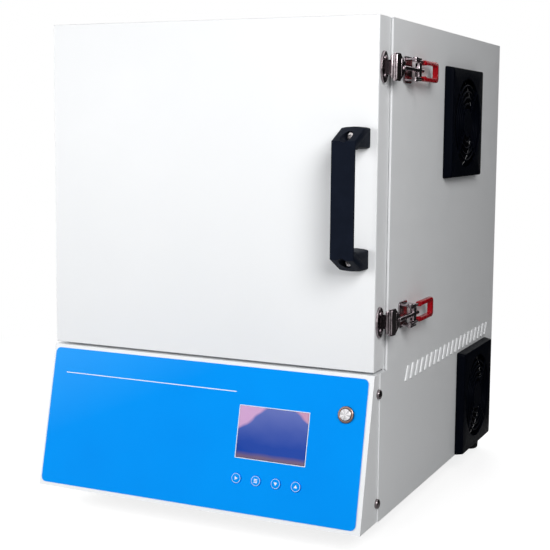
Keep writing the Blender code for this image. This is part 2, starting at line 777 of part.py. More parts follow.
def rubber_feet(root):
    profile = [(0, -GAP), (FOOT_TOP_RADIUS, -GAP), (FOOT_SOLE_RADIUS, -FOOT_HEIGHT + FOOT_EDGE),
               (FOOT_SOLE_RADIUS - FOOT_EDGE, -FOOT_HEIGHT), (0, -FOOT_HEIGHT)]
    for word, side in (("left", -1), ("right", 1)):
        front = turned("front_" + word + "_foot", profile, "Z", (side * FRONT_FOOT_X, FRONT_FOOT_BACK),
                       MIDDLE_STEPS)
        dress(front, black_rubber(), root)
        rear = turned("rear_" + word + "_foot", profile, "Z", (side * REAR_FOOT_X, REAR_FOOT_BACK),
                      MIDDLE_STEPS)
        dress(rear, black_rubber(), root)


def dome_head(name, radius, proud, axis, centre, seat, sunk, steps=SMALL_STEPS):
    # Low domed screw head on a seat, with a shank that goes into the piece below it.
    edge = proud * HALF_SHARE
    top = radius * HALF_SHARE
    profile = [(0, seat - sunk), (radius, seat - sunk), (radius, seat + edge),
               (top, seat + proud), (0, seat + proud)]
    return turned(name, profile, axis, centre, steps)


# Control panel


def control_panel(root):
    back = FRAME_FRONT - GAP
    outline = [(0, PANEL_HEIGHT), (-PANEL_REACH, 0), (back, 0), (back, PANEL_HEIGHT)]
    panel = prism("control_panel", outline, "X", -INSIDE_HALF, INSIDE_HALF)
    slope = SHEET / math.cos(PANEL_ANGLE)
    fall = math.tan(PANEL_ANGLE)
    top = PANEL_HEIGHT - SHEET
    inner = [(slope - SHEET * fall, top), (slope - (PANEL_HEIGHT - SHEET) * fall, SHEET),
             (back + OVERRUN, SHEET), (back + OVERRUN, top)]
    hollow = prism("hollow", inner, "X", -INSIDE_HALF + SHEET, INSIDE_HALF - SHEET)
    cut(panel, hollow)
    cut(panel, *panel_cutters(GAP))
    return dress(panel, white_paint(), root)


def panel_cutters(extra):
    # Window, power button and keys, cut through whatever lies on the slope.
    tools = []
    window = rectangle(WINDOW_LEFT, WINDOW_LEFT + WINDOW_WIDTH, -WINDOW_TOP - WINDOW_TALL, -WINDOW_TOP)
    tools.append(prism("hole", window, "Z", -OVERRUN, OVERRUN))
    button = circle(BUTTON_BARREL_RADIUS + extra, (BUTTON_X, -BUTTON_DOWN))
    tools.append(prism("hole", button, "Z", -OVERRUN, OVERRUN))
    for step in range(len(KEY_NAMES)):
        key = circle(KEY_RADIUS + extra, (KEY_FIRST_X + KEY_PITCH * step, -KEY_DOWN), MIDDLE_STEPS)
        tools.append(prism("hole", key, "Z", -OVERRUN, OVERRUN))
    return [on_panel(gather(tools))]


def panel_overlay(root):
    outline = rounded(-INSIDE_HALF + OVERLAY_LEFT_RIM, INSIDE_HALF - OVERLAY_RIGHT_RIM,
                      OVERLAY_BOTTOM_RIM - SLOPE_LONG, -OVERLAY_TOP, OVERLAY_CORNER, CORNER_STEPS * 2)
    film = on_panel(prism("panel_overlay", outline, "Z", GAP, GAP + OVERLAY_THICK))
    return dress(cut(film, *panel_cutters(GAP)), blue_film(), root)


def display_window(root):
    outline = rectangle(WINDOW_LEFT + GAP, WINDOW_LEFT + WINDOW_WIDTH - GAP,
                        -WINDOW_TOP - WINDOW_TALL + GAP, -WINDOW_TOP - GAP)
    lens = prism("display_window", outline, "Z", -SHEET, GAP + OVERLAY_THICK + WINDOW_PROUD)
    front = GAP + OVERLAY_THICK + WINDOW_PROUD
    round_edges(lens, WINDOW_PROUD, lambda m, d: m.z > front - GAP, 1)
    return dress(on_panel(lens), indigo_glass(), root)


def display_module(root):
    outline = rectangle(WINDOW_LEFT - DISPLAY_RIM, WINDOW_LEFT + WINDOW_WIDTH + DISPLAY_RIM,
                        -WINDOW_TOP - WINDOW_TALL - DISPLAY_RIM, -WINDOW_TOP + DISPLAY_RIM)
    front = -SHEET - GAP
    module = prism("display_module", outline, "Z", front - DISPLAY_THICK, front)
    return dress(on_panel(module), black_plastic(), root)


def control_board(root):
    low_x = WINDOW_LEFT - BOARD_MARGIN
    high_x = WINDOW_LEFT + WINDOW_WIDTH + BOARD_MARGIN
    top = WINDOW_TOP - BOARD_MARGIN
    front = -SHEET - GAP - DISPLAY_THICK - GAP
    board = prism("control_board", rectangle(low_x, high_x, -BOARD_BOTTOM, -top), "Z",
                  front - BOARD_THICK, front)
    inset = STANDOFF_INSET
    for across in (low_x + inset, high_x - inset):
        for down in (top + inset, BOARD_BOTTOM - inset):
            pillar = prism("standoff", circle(STANDOFF_RADIUS, (across, -down), STANDOFF_STEPS), "Z",
                           front - BOARD_THICK * HALF_SHARE, -SHEET - GAP)
            weld(board, pillar)
    half = SWITCH_SIZE * HALF_SHARE
    top_of_switch = key_stem_end() - KEY_TRAVEL - GAP
    for step in range(len(KEY_NAMES)):
        across = KEY_FIRST_X + KEY_PITCH * step
        switch = prism("switch", rectangle(across - half, across + half, -KEY_DOWN - half,
                                           -KEY_DOWN + half), "Z",
                       front - BOARD_THICK * HALF_SHARE, top_of_switch)
        weld(board, switch)
    return dress(on_panel(board), green_board(), root)


def key_stem_end():
    return -SHEET - GAP - KEY_FLANGE - KEY_STEM_LONG


def keys(root):
    top = GAP + OVERLAY_THICK + KEY_PROUD
    flange = -SHEET - GAP
    for step, name in enumerate(KEY_NAMES):
        across = KEY_FIRST_X + KEY_PITCH * step
        hub = pivot(name + "_slide", panel_place(across, KEY_DOWN), root)
        wide = KEY_RADIUS + KEY_FLANGE_EXTRA
        profile = [(0, top), (KEY_RADIUS - GAP, top), (KEY_RADIUS, top - GAP), (KEY_RADIUS, flange),
                   (wide, flange), (wide, flange - KEY_FLANGE), (KEY_STEM_RADIUS, flange - KEY_FLANGE),
                   (KEY_STEM_RADIUS, key_stem_end()), (0, key_stem_end())]
        key = turned(name, profile, "Z", (across, -KEY_DOWN), MIDDLE_STEPS)
        dress(on_panel(key), blue_film(), hub)


def power_button(root):
    seat = GAP + OVERLAY_THICK + GAP
    face = seat + BUTTON_BEZEL_THICK
    bore = BUTTON_CAP_RADIUS + BUTTON_SLIDE_GAP
    floor = face + BUTTON_CAP_PROUD - BUTTON_CAP_LONG - BUTTON_TRAVEL - GAP
    profile = [(0, floor), (bore, floor), (bore, face), (BUTTON_BEZEL_RADIUS - BUTTON_CHAMFER, face),
               (BUTTON_BEZEL_RADIUS, face - BUTTON_CHAMFER), (BUTTON_BEZEL_RADIUS, seat),
               (BUTTON_BARREL_RADIUS, seat), (BUTTON_BARREL_RADIUS, seat - BUTTON_BARREL_LONG),
               (0, seat - BUTTON_BARREL_LONG)]
    body = turned("power_button_body", profile, "Z", (BUTTON_X, -BUTTON_DOWN))
    dress(on_panel(body), chrome(), root)
    hub = pivot("power_button_slide", panel_place(BUTTON_X, BUTTON_DOWN), root)
    top = face + BUTTON_CAP_PROUD
    cap_profile = [(0, top), (BUTTON_CAP_RADIUS - GAP, top), (BUTTON_CAP_RADIUS, top - GAP),
                   (BUTTON_CAP_RADIUS, top - BUTTON_CAP_LONG), (0, top - BUTTON_CAP_LONG)]
    cap = turned("power_button_cap", cap_profile, "Z", (BUTTON_X, -BUTTON_DOWN))
    dress(on_panel(cap), bright_steel(), hub)


# Vacuum chamber and what it holds


def mouth(inset):
    # Outline that lies inside the flange's by the same inset all round.
    wide = FLANGE_WIDE - inset
    tall = FLANGE_TALL - inset
    return rectangle(-wide, wide, CENTRE_Z - tall, CENTRE_Z + tall)


def vacuum_chamber(root):
    chamber = prism("vacuum_chamber", mouth(FLANGE_LAND), "Y", FRAME_FRONT, CHAMBER_BACK)
    flange = prism("flange", mouth(0), "Y", FRAME_FRONT, FRAME_FRONT + FLANGE_THICK)
    weld(chamber, flange)
    half = FLANGE_WIDE - FLANGE_LAND - RAIL_SIDE_INSET
    for back in (RAIL_FRONT, CHAMBER_BACK - RAIL_FROM_BACK):
        rail = block("rail", (-half, half), (back, back + RAIL_DEPTH),
                     (SHELF_HEIGHT + GAP, CHAMBER_LOW + CHAMBER_WALL * HALF_SHARE))
        weld(chamber, rail)
    hollow = prism("hollow", mouth(FLANGE_LAND + CHAMBER_WALL), "Y", FRAME_FRONT - OVERRUN,
                   CHAMBER_BACK - CHAMBER_WALL)
    port = rod("port", PORT_BORE_RADIUS, "Y", (0, PORT_Z), CHAMBER_BACK - CHAMBER_WALL - OVERRUN,
               CHAMBER_BACK + OVERRUN, ROUND_STEPS)
    probe = rod("probe", PROBE_RADIUS + GAP, "Y", (0, PROBE_Z),
                CHAMBER_BACK - CHAMBER_WALL - OVERRUN, CHAMBER_BACK + OVERRUN)
    cut(chamber, hollow, port, probe, seal_groove())
    return dress(chamber, bright_steel(), root)


def seal_ring(wider):
    # Rounded outline of the seal's middle line, set outwards by wider.
    wide = FLANGE_WIDE - SEAL_INSET + wider
    tall = FLANGE_TALL - SEAL_INSET + wider
    return rounded(-wide, wide, CENTRE_Z - tall, CENTRE_Z + tall, SEAL_CORNER + wider)


def seal_groove():
    outer = seal_ring(SEAL_RADIUS + SEAL_SIDE_GAP)
    inner = seal_ring(-SEAL_RADIUS - SEAL_SIDE_GAP)
    bottom = DOOR_THICK + GAP + SEAL_RADIUS * 2 + GAP
    groove = prism("groove", outer, "Y", FRAME_FRONT - OVERRUN, bottom)
    core = prism("core", inner, "Y", FRAME_FRONT - OVERRUN * 2, bottom + OVERRUN)
    return cut(groove, core)


def door_seal(root):
    # Ring of round section, swept round a path with rounded corners.
    path = seal_ring(0)
    middle = DOOR_THICK + GAP + SEAL_RADIUS
    shape = bmesh.new()
    rings = []
    count = len(path)
    for index, (across, height) in enumerate(path):
        before = Vector(path[index - 1])
        after = Vector(path[(index + 1) % count])
        out = (after - before).normalized()
        out = Vector((out.y, -out.x))
        ring = []
        for step in range(SEAL_SIDES):
            turn = FULL_TURN * step / SEAL_SIDES
            reach = SEAL_RADIUS * math.cos(turn)
            place = (across + out.x * reach, middle + SEAL_RADIUS * math.sin(turn), height + out.y * reach)
            ring.append(shape.verts.new(place))
        rings.append(ring)
    for index, ring in enumerate(rings):
        following = rings[(index + 1) % count]
        for step in range(SEAL_SIDES):
            later = (step + 1) % SEAL_SIDES
            shape.faces.new((ring[step], ring[later], following[later], following[step]))
    return dress(smooth(add_object("door_seal", shape)), red_seal(), root)


def insulation_liner(root):
    front = FRAME_FRONT + LINER_RECESS
    liner = prism("insulation_liner", mouth(LINER_INSET), "Y", front, CHAMBER_BACK - CHAMBER_WALL - GAP)
    cavity = prism("cavity", mouth(CAVITY_INSET), "Y", front - OVERRUN, CAVITY_BACK)
    probe = rod("hole", PROBE_RADIUS + GAP, "Y", (0, PROBE_Z), CAVITY_BACK - OVERRUN, CHAMBER_BACK)
    draw = rod("hole", PORT_BORE_RADIUS, "Y", (0, PORT_Z), CAVITY_BACK - OVERRUN, CHAMBER_BACK,
               ROUND_STEPS)
    tails = []
    for side in (-1, 1):
        for height in (CENTRE_Z - HEATER_REACH, CENTRE_Z + HEATER_REACH):
            tails.append(rod("hole", HEATER_RADIUS + GAP, "Y", (side * HEATER_X, height),
                             CAVITY_BACK - OVERRUN, CHAMBER_BACK))
    cut(liner, cavity, gather([probe, draw] + tails))
    return dress(liner, white_fibre(), root)


def heater_path():
    # Runs go to and fro along the depth, joined by half turns, with both tails to the rear.
    bend = HEATER_PITCH * HALF_SHARE
    low = CENTRE_Z - HEATER_REACH
    points = [(HEATER_TAIL, low)]
    for run in range(HEATER_RUNS - 1):
        at_front = run % 2 == 0
        centre_y = HEATER_FRONT + bend if at_front else HEATER_BACK - bend
        centre_z = low + HEATER_PITCH * run + bend
        for step in range(HEATER_BEND_STEPS + 1):
            turn = math.pi * step / HEATER_BEND_STEPS
            reach = bend * math.sin(turn)
            away = -reach if at_front else reach
            points.append((centre_y + away, centre_z - bend * math.cos(turn)))
    points.append((HEATER_TAIL, low + HEATER_PITCH * (HEATER_RUNS - 1)))
    return points


def heaters(root):
    for side, name in ((-1, "left_heater"), (1, "right_heater")):
        curve = bpy.data.curves.new(name, "CURVE")
        curve.dimensions = "3D"
        curve.bevel_depth = HEATER_RADIUS
        curve.bevel_resolution = 1
        curve.use_fill_caps = True
        line = curve.splines.new("POLY")
        path = heater_path()
        line.points.add(len(path) - 1)
        for point, (back, height) in zip(line.points, path):
            point.co = (side * HEATER_X, back, height, 1)
        made = bpy.data.objects.new(name, curve)
        made.parent = root
        curve.materials.append(heating_wire())
        bpy.context.scene.collection.objects.link(made)


def hearth_plate(root):
    low = CENTRE_Z - CAVITY_TALL + GAP
    half = CAVITY_WIDE - HEARTH_SIDE_MARGIN
    plate = block("hearth_plate", (-half, half),
                  (PLUG_BACK + HEARTH_FRONT_MARGIN, CAVITY_BACK - HEARTH_BACK_MARGIN),
                  (low, low + HEARTH_THICK))
    return dress(plate, fired_clay(), root)


def thermocouple(root):
    seat = CHAMBER_BACK + GAP
    profile = [(0, PROBE_TIP), (PROBE_RADIUS, PROBE_TIP + PROBE_RADIUS), (PROBE_RADIUS, seat),
               (PROBE_HEAD_RADIUS, seat), (PROBE_HEAD_RADIUS, seat + PROBE_HEAD_LONG),
               (0, seat + PROBE_HEAD_LONG)]
    probe = turned("thermocouple", profile, "Y", (0, PROBE_Z), SMALL_STEPS)
    return dress(probe, fired_clay(), root)


def vacuum_port(root):
    start = CHAMBER_BACK + GAP
    end = CASE_BACK + PORT_OUT
    rim = end - PORT_RIM_THICK
    profile = [(PORT_BORE_RADIUS, start), (PORT_RADIUS, start), (PORT_RADIUS, rim - PORT_RIM_TAPER),
               (PORT_RIM_RADIUS, rim), (PORT_RIM_RADIUS, end), (PORT_BORE_RADIUS, end)]
    port = turned("vacuum_port", profile, "Y", (0, PORT_Z))
    return dress(port, bright_steel(), root)


# Electrical bay


def transformer(root):
    wide, deep, tall = TRANSFORMER_SIZE
    low_x = -INSIDE_HALF + TRANSFORMER_FROM_LEFT
    low_y = CASE_BACK - TRANSFORMER_FROM_REAR - deep
    low_z = SHEET + GAP
    core = block("transformer", (low_x, low_x + wide), (low_y, low_y + deep), (low_z, low_z + tall))
    rise = tall * (1 - COIL_HEIGHT_SHARE) * HALF_SHARE
    coil = block("coil", (low_x + COIL_MARGIN, low_x + wide - COIL_MARGIN),
                 (low_y - COIL_MARGIN, low_y + deep + COIL_MARGIN), (low_z + rise, low_z + tall - rise))
    round_edges(coil, COIL_MARGIN * HALF_SHARE, every_edge)
    return dress(weld(core, coil), lacquered_iron(), root)


def power_regulator(root):
    wide, deep, thick = REGULATOR_SIZE
    low_x = -INSIDE_HALF + TRANSFORMER_FROM_LEFT + TRANSFORMER_SIZE[0] + REGULATOR_FROM_TRANSFORMER
    low_y = CASE_BACK - REGULATOR_FROM_REAR - deep
    low_z = SHEET + GAP
    sink = block("power_regulator", (low_x, low_x + wide), (low_y, low_y + deep), (low_z, low_z + thick))
    step = (wide - REGULATOR_FIN_THICK) / (REGULATOR_FINS - 1)
    for fin in range(REGULATOR_FINS):
        start = low_x + step * fin
        rib = block("fin", (start, start + REGULATOR_FIN_THICK), (low_y, low_y + deep),
                    (low_z + thick * HALF_SHARE, low_z + thick + REGULATOR_FIN_TALL))
        weld(sink, rib)
    return dress(sink, plain_steel(), root)


def mains_inlet(root):
    seat = CASE_BACK + GAP
    out = seat + INLET_FLANGE
    flange = rounded(INLET_X - INLET_WIDE * HALF_SHARE, INLET_X + INLET_WIDE * HALF_SHARE,
                     INLET_Z - INLET_TALL * HALF_SHARE, INLET_Z + INLET_TALL * HALF_SHARE,
                     INLET_TALL * QUARTER_SHARE)
    inlet = prism("mains_inlet", flange, "Y", seat, out)
    wide = INLET_BODY_WIDE * HALF_SHARE
    tall = INLET_BODY_TALL * HALF_SHARE
    body = block("body", (INLET_X - wide, INLET_X + wide),
                 (out - INLET_DEEP, seat + INLET_FLANGE * HALF_SHARE), (INLET_Z - tall, INLET_Z + tall))
    weld(inlet, body)
    socket = block("socket", (INLET_X - wide + INLET_WALL, INLET_X + wide - INLET_WALL),
                   (out - INLET_SOCKET_DEEP, out + OVERRUN),
                   (INLET_Z - tall + INLET_WALL, INLET_Z + tall - INLET_WALL))
    cut(inlet, socket)
    for step in (-1, 0, 1):
        across = INLET_X + INLET_PIN_PITCH * step
        half = INLET_PIN_WIDE * HALF_SHARE
        pin = block("pin", (across - half, across + half),
                    (out - INLET_SOCKET_DEEP - INLET_WALL, out - INLET_WALL),
                    (INLET_Z - INLET_PIN_TALL * HALF_SHARE, INLET_Z + INLET_PIN_TALL * HALF_SHARE))
        weld(inlet, pin)
    return dress(inlet, black_plastic(), root)


# Fans and guards


def arc_slot(inner, outer, start, end, centre, low, high):
    steps = GUARD_SLOT_STEPS
    points = []
    for step in range(steps + 1):
        turn = start + (end - start) * step / steps
        points.append((centre[0] + outer * math.cos(turn), centre[1] + outer * math.sin(turn)))
    for step in range(steps, -1, -1):
        turn = start + (end - start) * step / steps
        points.append((centre[0] + inner * math.cos(turn), centre[1] + inner * math.sin(turn)))
    return prism("slot", points, "X", low, high)


def guard(name, back, height, root):
    # Shallow hood with sloping edges and rings of slots round a closed middle, with ribs to its corners.
    seat = CASE_HALF + GAP
    top = seat + GUARD_PROUD
    half = GUARD_HALF
    shape = bmesh.new()
    lower = [shape.verts.new((seat, y, z)) for y, z in
             rounded(back - half, back + half, height - half, height + half, GUARD_CORNER)]
    small = half - GUARD_CHAMFER
    upper = [shape.verts.new((top, y, z)) for y, z in
             rounded(back - small, back + small, height - small, height + small, GUARD_CORNER)]
    # The first part of the rise is upright, so the edge has a lip before the slope.
    lip = [shape.verts.new((seat + GUARD_WALL, v.co.y, v.co.z)) for v in lower]
    count = len(lower)
    for first, second in ((lower, lip), (lip, upper)):
        for index in range(count):
            later = (index + 1) % count
            shape.faces.new((first[index], first[later], second[later], second[index]))
    shape.faces.new(lower)
    shape.faces.new(upper)
    cover = add_object(name, shape)
    inner = small - GUARD_WALL
    hollow = prism("hollow", rectangle(back - inner, back + inner, height - inner, height + inner),
                   "X", seat - OVERRUN, top - GUARD_WALL)
    cut(cover, hollow)
    slots = []
    for ring in range(GUARD_RINGS):
        start_radius = GUARD_HUB_RADIUS + GUARD_RING_PITCH * ring
        end_radius = start_radius + GUARD_SLOT_WIDE
        spare = GUARD_SPOKE_WIDE * HALF_SHARE / start_radius
        for quarter in range(QUARTERS):
            start = (quarter - HALF_SHARE) * QUARTER_TURN + spare
            end = (quarter + HALF_SHARE) * QUARTER_TURN - spare
            slots.append(arc_slot(start_radius, end_radius, start, end, (back, height),
                                  top - GUARD_WALL - OVERRUN, top + OVERRUN))
    return dress(cut(cover, gather(slots)), black_plastic(), root)


def fan_frame(name, back, height, root):
    out = INSIDE_HALF
    into = out - FAN_THICK
    half = FAN_SIZE * HALF_SHARE
    frame = prism(name, rounded(back - half, back + half, height - half, height + half, FAN_CORNER),
                  "X", into, out)
    bore = rod("bore", FAN_BORE_RADIUS, "X", (back, height), into - OVERRUN, out + OVERRUN, ROUND_STEPS)
    cut(frame, bore)
    motor = rod("motor", FAN_MOTOR_RADIUS, "X", (back, height), into, into + FAN_MOTOR_THICK, ROUND_STEPS)
    strut = FAN_STRUT_WIDE * HALF_SHARE
    reach = FAN_BORE_RADIUS + GUARD_WALL
    across = block("strut", (into, into + FAN_MOTOR_THICK), (back - reach, back + reach),
                   (height - strut, height + strut))
    upright = block("strut", (into, into + FAN_MOTOR_THICK), (back - strut, back + strut),
                    (height - reach, height + reach))
    weld(motor, across, upright)
    weld(frame, motor)
    return dress(frame, black_plastic(), root)


def blade(back, height, start_turn, low, high):
    # Thin strip that sweeps round and twists as it goes out from the hub.
    shape = bmesh.new()
    rings = []
    tip = FAN_BORE_RADIUS - ROTOR_TIP_GAP
    root_radius = ROTOR_HUB_RADIUS - BLADE_THICK
    middle = (low + high) * HALF_SHARE
    chord = (high - low) * BLADE_CHORD_SHARE
    for station in range(BLADE_STATIONS):
        share = station / (BLADE_STATIONS - 1)
        radius = root_radius + (tip - root_radius) * share
        turn = start_turn + BLADE_SWEEP * share
        reach = chord * HALF_SHARE * math.cos(BLADE_TWIST)
        side = chord * HALF_SHARE * math.tan(BLADE_TWIST)
        ring = []
        for along_x, offset in ((-reach, -side), (-reach, -side + BLADE_THICK),
                                (reach, side + BLADE_THICK), (reach, side)):
            angle = turn + offset / radius
            ring.append(shape.verts.new((middle + along_x, back + radius * math.cos(angle),
                                         height + radius * math.sin(angle))))
        rings.append(ring)
    for first, second in zip(rings, rings[1:]):
        for index in range(len(first)):
            later = (index + 1) % len(first)
            shape.faces.new((first[index], first[later], second[later], second[index]))
    shape.faces.new(rings[0])
    shape.faces.new(rings[-1])
    return add_object("blade", shape)


def fan_rotor(name, back, height, root):
    into = INSIDE_HALF - FAN_THICK + FAN_MOTOR_THICK + GAP
    out = INSIDE_HALF - ROTOR_SET_BACK
    hub = pivot(name + "_spin", (into, back, height), root)
    rotor = rod(name, ROTOR_HUB_RADIUS, "X", (back, height), into, out, ROUND_STEPS)
    for number in range(BLADE_COUNT):
        weld(rotor, blade(back, height, FULL_TURN * number / BLADE_COUNT, into, out))
    return dress(rotor, black_plastic(), hub)


# Door


def door_body(hub):
    shell = block("door_shell", (-DOOR_HALF, DOOR_HALF), (0, DOOR_THICK), (DOOR_LOW, CASE_HEIGHT))
    round_edges(shell, DOOR_EDGE, lambda m, d: m.y < DOOR_EDGE)
    inner = DOOR_HALF - SHEET
    hollow = block("hollow", (-inner, inner), (SHEET, DOOR_THICK + OVERRUN),
                   (DOOR_LOW + SHEET, CASE_HEIGHT - SHEET))
    dress(cut(shell, hollow), white_paint(), hub)
    fit = inner - GAP
    low = DOOR_LOW + SHEET + GAP
    high = CASE_HEIGHT - SHEET - GAP
    plate = block("door_inner_plate", (-fit, fit), (DOOR_THICK - BACKPLATE, DOOR_THICK), (low, high))
    dress(plate, bright_steel(), hub)
    filling = block("door_insulation", (-fit, fit), (SHEET + GAP, DOOR_THICK - BACKPLATE - GAP),
                    (low, high))
    dress(filling, white_fibre(), hub)


def door_plug(hub):
    plug = prism("door_plug", mouth(CAVITY_INSET + PLUG_CLEARANCE), "Y", DOOR_THICK + GAP, PLUG_BACK)
    round_edges(plug, PLUG_TAPER, lambda m, d: m.y > PLUG_BACK - PLUG_TAPER, 1)
    return dress(plug, white_fibre(), hub)


def door_handle(hub):
    # Bridge handle: two feet with convex ends, and a flat bar that is narrower at its back.
    front = -HANDLE_REACH
    seat = -GAP
    outline = [(seat, HANDLE_LOW), (front + HANDLE_REACH - HANDLE_END_RISE, HANDLE_LOW),
               (front, HANDLE_LOW + HANDLE_END_SLOPE), (front, HANDLE_HIGH - HANDLE_END_SLOPE),
               (-HANDLE_END_RISE, HANDLE_HIGH), (seat, HANDLE_HIGH)]
    right = HANDLE_LEFT + HANDLE_WIDE
    handle = prism("door_handle", outline, "X", HANDLE_LEFT, right)
    combine(handle, [crowned(HANDLE_LOW, HANDLE_HIGH, HANDLE_CROWN)], "INTERSECT")
    bend = HANDLE_SOFT
    inner = front + HANDLE_BAR
    low = HANDLE_LOW + HANDLE_FOOT_TALL
    high = HANDLE_HIGH - HANDLE_FOOT_TALL
    finger = [(OVERRUN, low), (OVERRUN, high), (inner + HANDLE_WEB, high), (inner, high - HANDLE_WEB),
              (inner, low + HANDLE_WEB), (inner + HANDLE_WEB, low)]
    gap = prism("gap", finger, "X", HANDLE_LEFT - OVERRUN, right + OVERRUN)
    combine(gap, [crowned(low + HANDLE_CROWN, high - HANDLE_CROWN, -HANDLE_CROWN)], "INTERSECT")
    cut(handle, gap)
    middle = HANDLE_LEFT + HANDLE_WIDE * HALF_SHARE
    flank = HANDLE_WIDE * HALF_SHARE - GAP
    round_edges(handle, bend, lambda m, d: abs(m.x - middle) > flank and m.y < seat - bend)
    for side in (-1, 1):
        edge = middle + side * HANDLE_WIDE * HALF_SHARE
        beyond = edge + side * OVERRUN
        waist = edge - side * HANDLE_WAIST
        behind = inner + HANDLE_WEB
        outline = [(edge, front + HANDLE_RIM), (waist, inner), (waist, behind), (beyond, behind),
                   (beyond, front + HANDLE_RIM)]
        cut(handle, prism("waist", outline, "Z", low + HANDLE_CROWN, high - HANDLE_CROWN))
    for height in handle_screw_heights():
        deep = prism("bore", circle(HANDLE_SCREW_HOLE, (middle, height)), "Y",
                     front - OVERRUN, -HANDLE_SCREW_SEAT)
        cut(handle, deep)
    return dress(handle, black_plastic(), hub, True)


def crowned(low, high, bulge):
    # Block a little wider than the handle, whose top and bottom bulge in the middle.
    half = HANDLE_WIDE * HALF_SHARE + OVERRUN
    middle = HANDLE_LEFT + HANDLE_WIDE * HALF_SHARE
    shares = [step / HANDLE_CROWN_STEPS / HALF_SHARE - 1 for step in range(HANDLE_CROWN_STEPS + 1)]
    bottom = [(middle + half * share, low + bulge * share ** 2) for share in shares]
    top = [(middle - half * share, high - bulge * share ** 2) for share in shares]
    return prism("crowned", bottom + top, "Y", -HANDLE_REACH - OVERRUN, OVERRUN * 2)


def handle_screw_heights():
    return (HANDLE_LOW + HANDLE_SCREW_INSET, HANDLE_HIGH - HANDLE_SCREW_INSET)


# Hinges


def hinge_bands(centre):
    # Heights of the lower, middle and upper knuckles.
    low = centre - HINGE_TALL * HALF_SHARE
    high = centre + HINGE_TALL * HALF_SHARE
    half = HINGE_TALL * KNUCKLE_SHARE * HALF_SHARE
    return ((low, centre - half), (centre - half + HINGE_AXIAL_GAP, centre + half - HINGE_AXIAL_GAP),
            (centre + half, high))


def pin_hole(centre):
    return rod("hole", HINGE_PIN_RADIUS + HINGE_PIN_GAP, "Z", (HINGE_X, HINGE_Y),
               centre - HINGE_TALL, centre + HINGE_TALL, MIDDLE_STEPS)


def case_leaf(name, centre, root):
    bands = hinge_bands(centre)
    wall = -CASE_HALF - GAP
    low, high = bands[0][0], bands[2][1]
    leaf = block(name, (wall - LEAF_THICK, wall), (HINGE_Y, HINGE_Y + LEAF_LONG), (low, high))
    clear = KNUCKLE_RADIUS + GAP
    notch = block("notch", (wall - LEAF_THICK - OVERRUN, wall + OVERRUN),
                  (HINGE_Y - clear, HINGE_Y + clear), (bands[0][1], bands[2][0]))
    cut(leaf, notch)
    for start, end in (bands[0], bands[2]):
        weld(leaf, rod("knuckle", KNUCKLE_RADIUS, "Z", (HINGE_X, HINGE_Y), start, end, MIDDLE_STEPS))
    cut(leaf, pin_hole(centre))
    return dress(leaf, bright_steel(), root, True)


def door_leaf(name, centre, hub):
    bands = hinge_bands(centre)
    wall = -DOOR_HALF - GAP
    low, high = bands[0][0], bands[2][1]
    end = DOOR_THICK - GAP
    leaf = block(name, (wall - LEAF_THICK, wall), (end - LEAF_LONG, end), (low, high))
    neck = block("neck", (HINGE_X, wall), (end - HINGE_NECK, end), bands[1])
    barrel = rod("knuckle", KNUCKLE_RADIUS, "Z", (HINGE_X, HINGE_Y), *bands[1], MIDDLE_STEPS)
    weld(leaf, neck, barrel)
    cut(leaf, pin_hole(centre))
    return dress(leaf, bright_steel(), hub, True)


def hinge_pin(name, centre, root):
    low = centre - HINGE_TALL * HALF_SHARE
    seat = centre + HINGE_TALL * HALF_SHARE + GAP
    top = seat + HINGE_HEAD_THICK
    profile = [(0, low), (HINGE_PIN_RADIUS, low), (HINGE_PIN_RADIUS, seat),
               (HINGE_HEAD_RADIUS, seat), (HINGE_HEAD_RADIUS, top), (0, top)]
    pin = turned(name, profile, "Z", (HINGE_X, HINGE_Y), MIDDLE_STEPS)
    return dress(pin, bright_steel(), root)


# Latches


def keeper(name, centre, hub):
    face = DOOR_HALF + GAP
    middle = (KEEPER_FRONT + KEEPER_BACK) * HALF_SHARE
    half = (KEEPER_BACK - KEEPER_FRONT) * HALF_SHARE
    plate = prism(name, oval(half, KEEPER_TALL * HALF_SHARE, (middle, centre)), "X",
                  face, face + KEEPER_THICK)
    round_edges(plate, KEEPER_THICK * QUARTER_SHARE,
                lambda m, d: m.x > face + KEEPER_THICK - GAP, 1)
    tall = KEEPER_NECK_TALL * HALF_SHARE
    neck = block("neck", (face, DOOR_HALF + ROLL_OUT), (ROLL_BACK, ROLL_BACK + KEEPER_NECK_THICK),
                 (centre - tall, centre + tall))
    roll = rod("roll", ROLL_RADIUS, "Z", (DOOR_HALF + ROLL_OUT, ROLL_BACK), centre - tall,
               centre + tall)
    weld(plate, neck, roll)
    for side in (-1, 1):
        height = centre + side * KEEPER_SCREW_PITCH * HALF_SHARE
        weld(plate, dome_head("screw", KEEPER_SCREW_RADIUS, KEEPER_SCREW_PROUD, "X",
                              (middle, height), face + KEEPER_THICK, KEEPER_THICK * HALF_SHARE))
    return dress(plate, chrome(), hub, True)


def claw_outline():
    # Plate that curls over the front of the keeper's roll and steps out to the rod's height behind it.
    centre_x = DOOR_HALF + ROLL_OUT
    inner = ROLL_RADIUS + CLAW_GAP
    outer = inner + CLAW_THICK
    turns = [CLAW_WRAP * step / CLAW_WRAP_STEPS for step in range(CLAW_WRAP_STEPS + 1)]
    outside = [(centre_x + outer * math.cos(t), ROLL_BACK - outer * math.sin(t)) for t in turns]
    inside = [(centre_x + inner * math.cos(t), ROLL_BACK - inner * math.sin(t)) for t in turns]
    low = ROD_X - CLAW_THICK * HALF_SHARE
    high = ROD_X + CLAW_THICK * HALF_SHARE
    back = [(centre_x + inner, CLAW_KNEE_BACK), (low, CLAW_STEP_BACK), (low, YOKE_BACK),
            (high, YOKE_BACK), (high, CLAW_STEP_BACK), (centre_x + outer, CLAW_KNEE_BACK)]
    return outside[::-1] + back[::-1] + inside


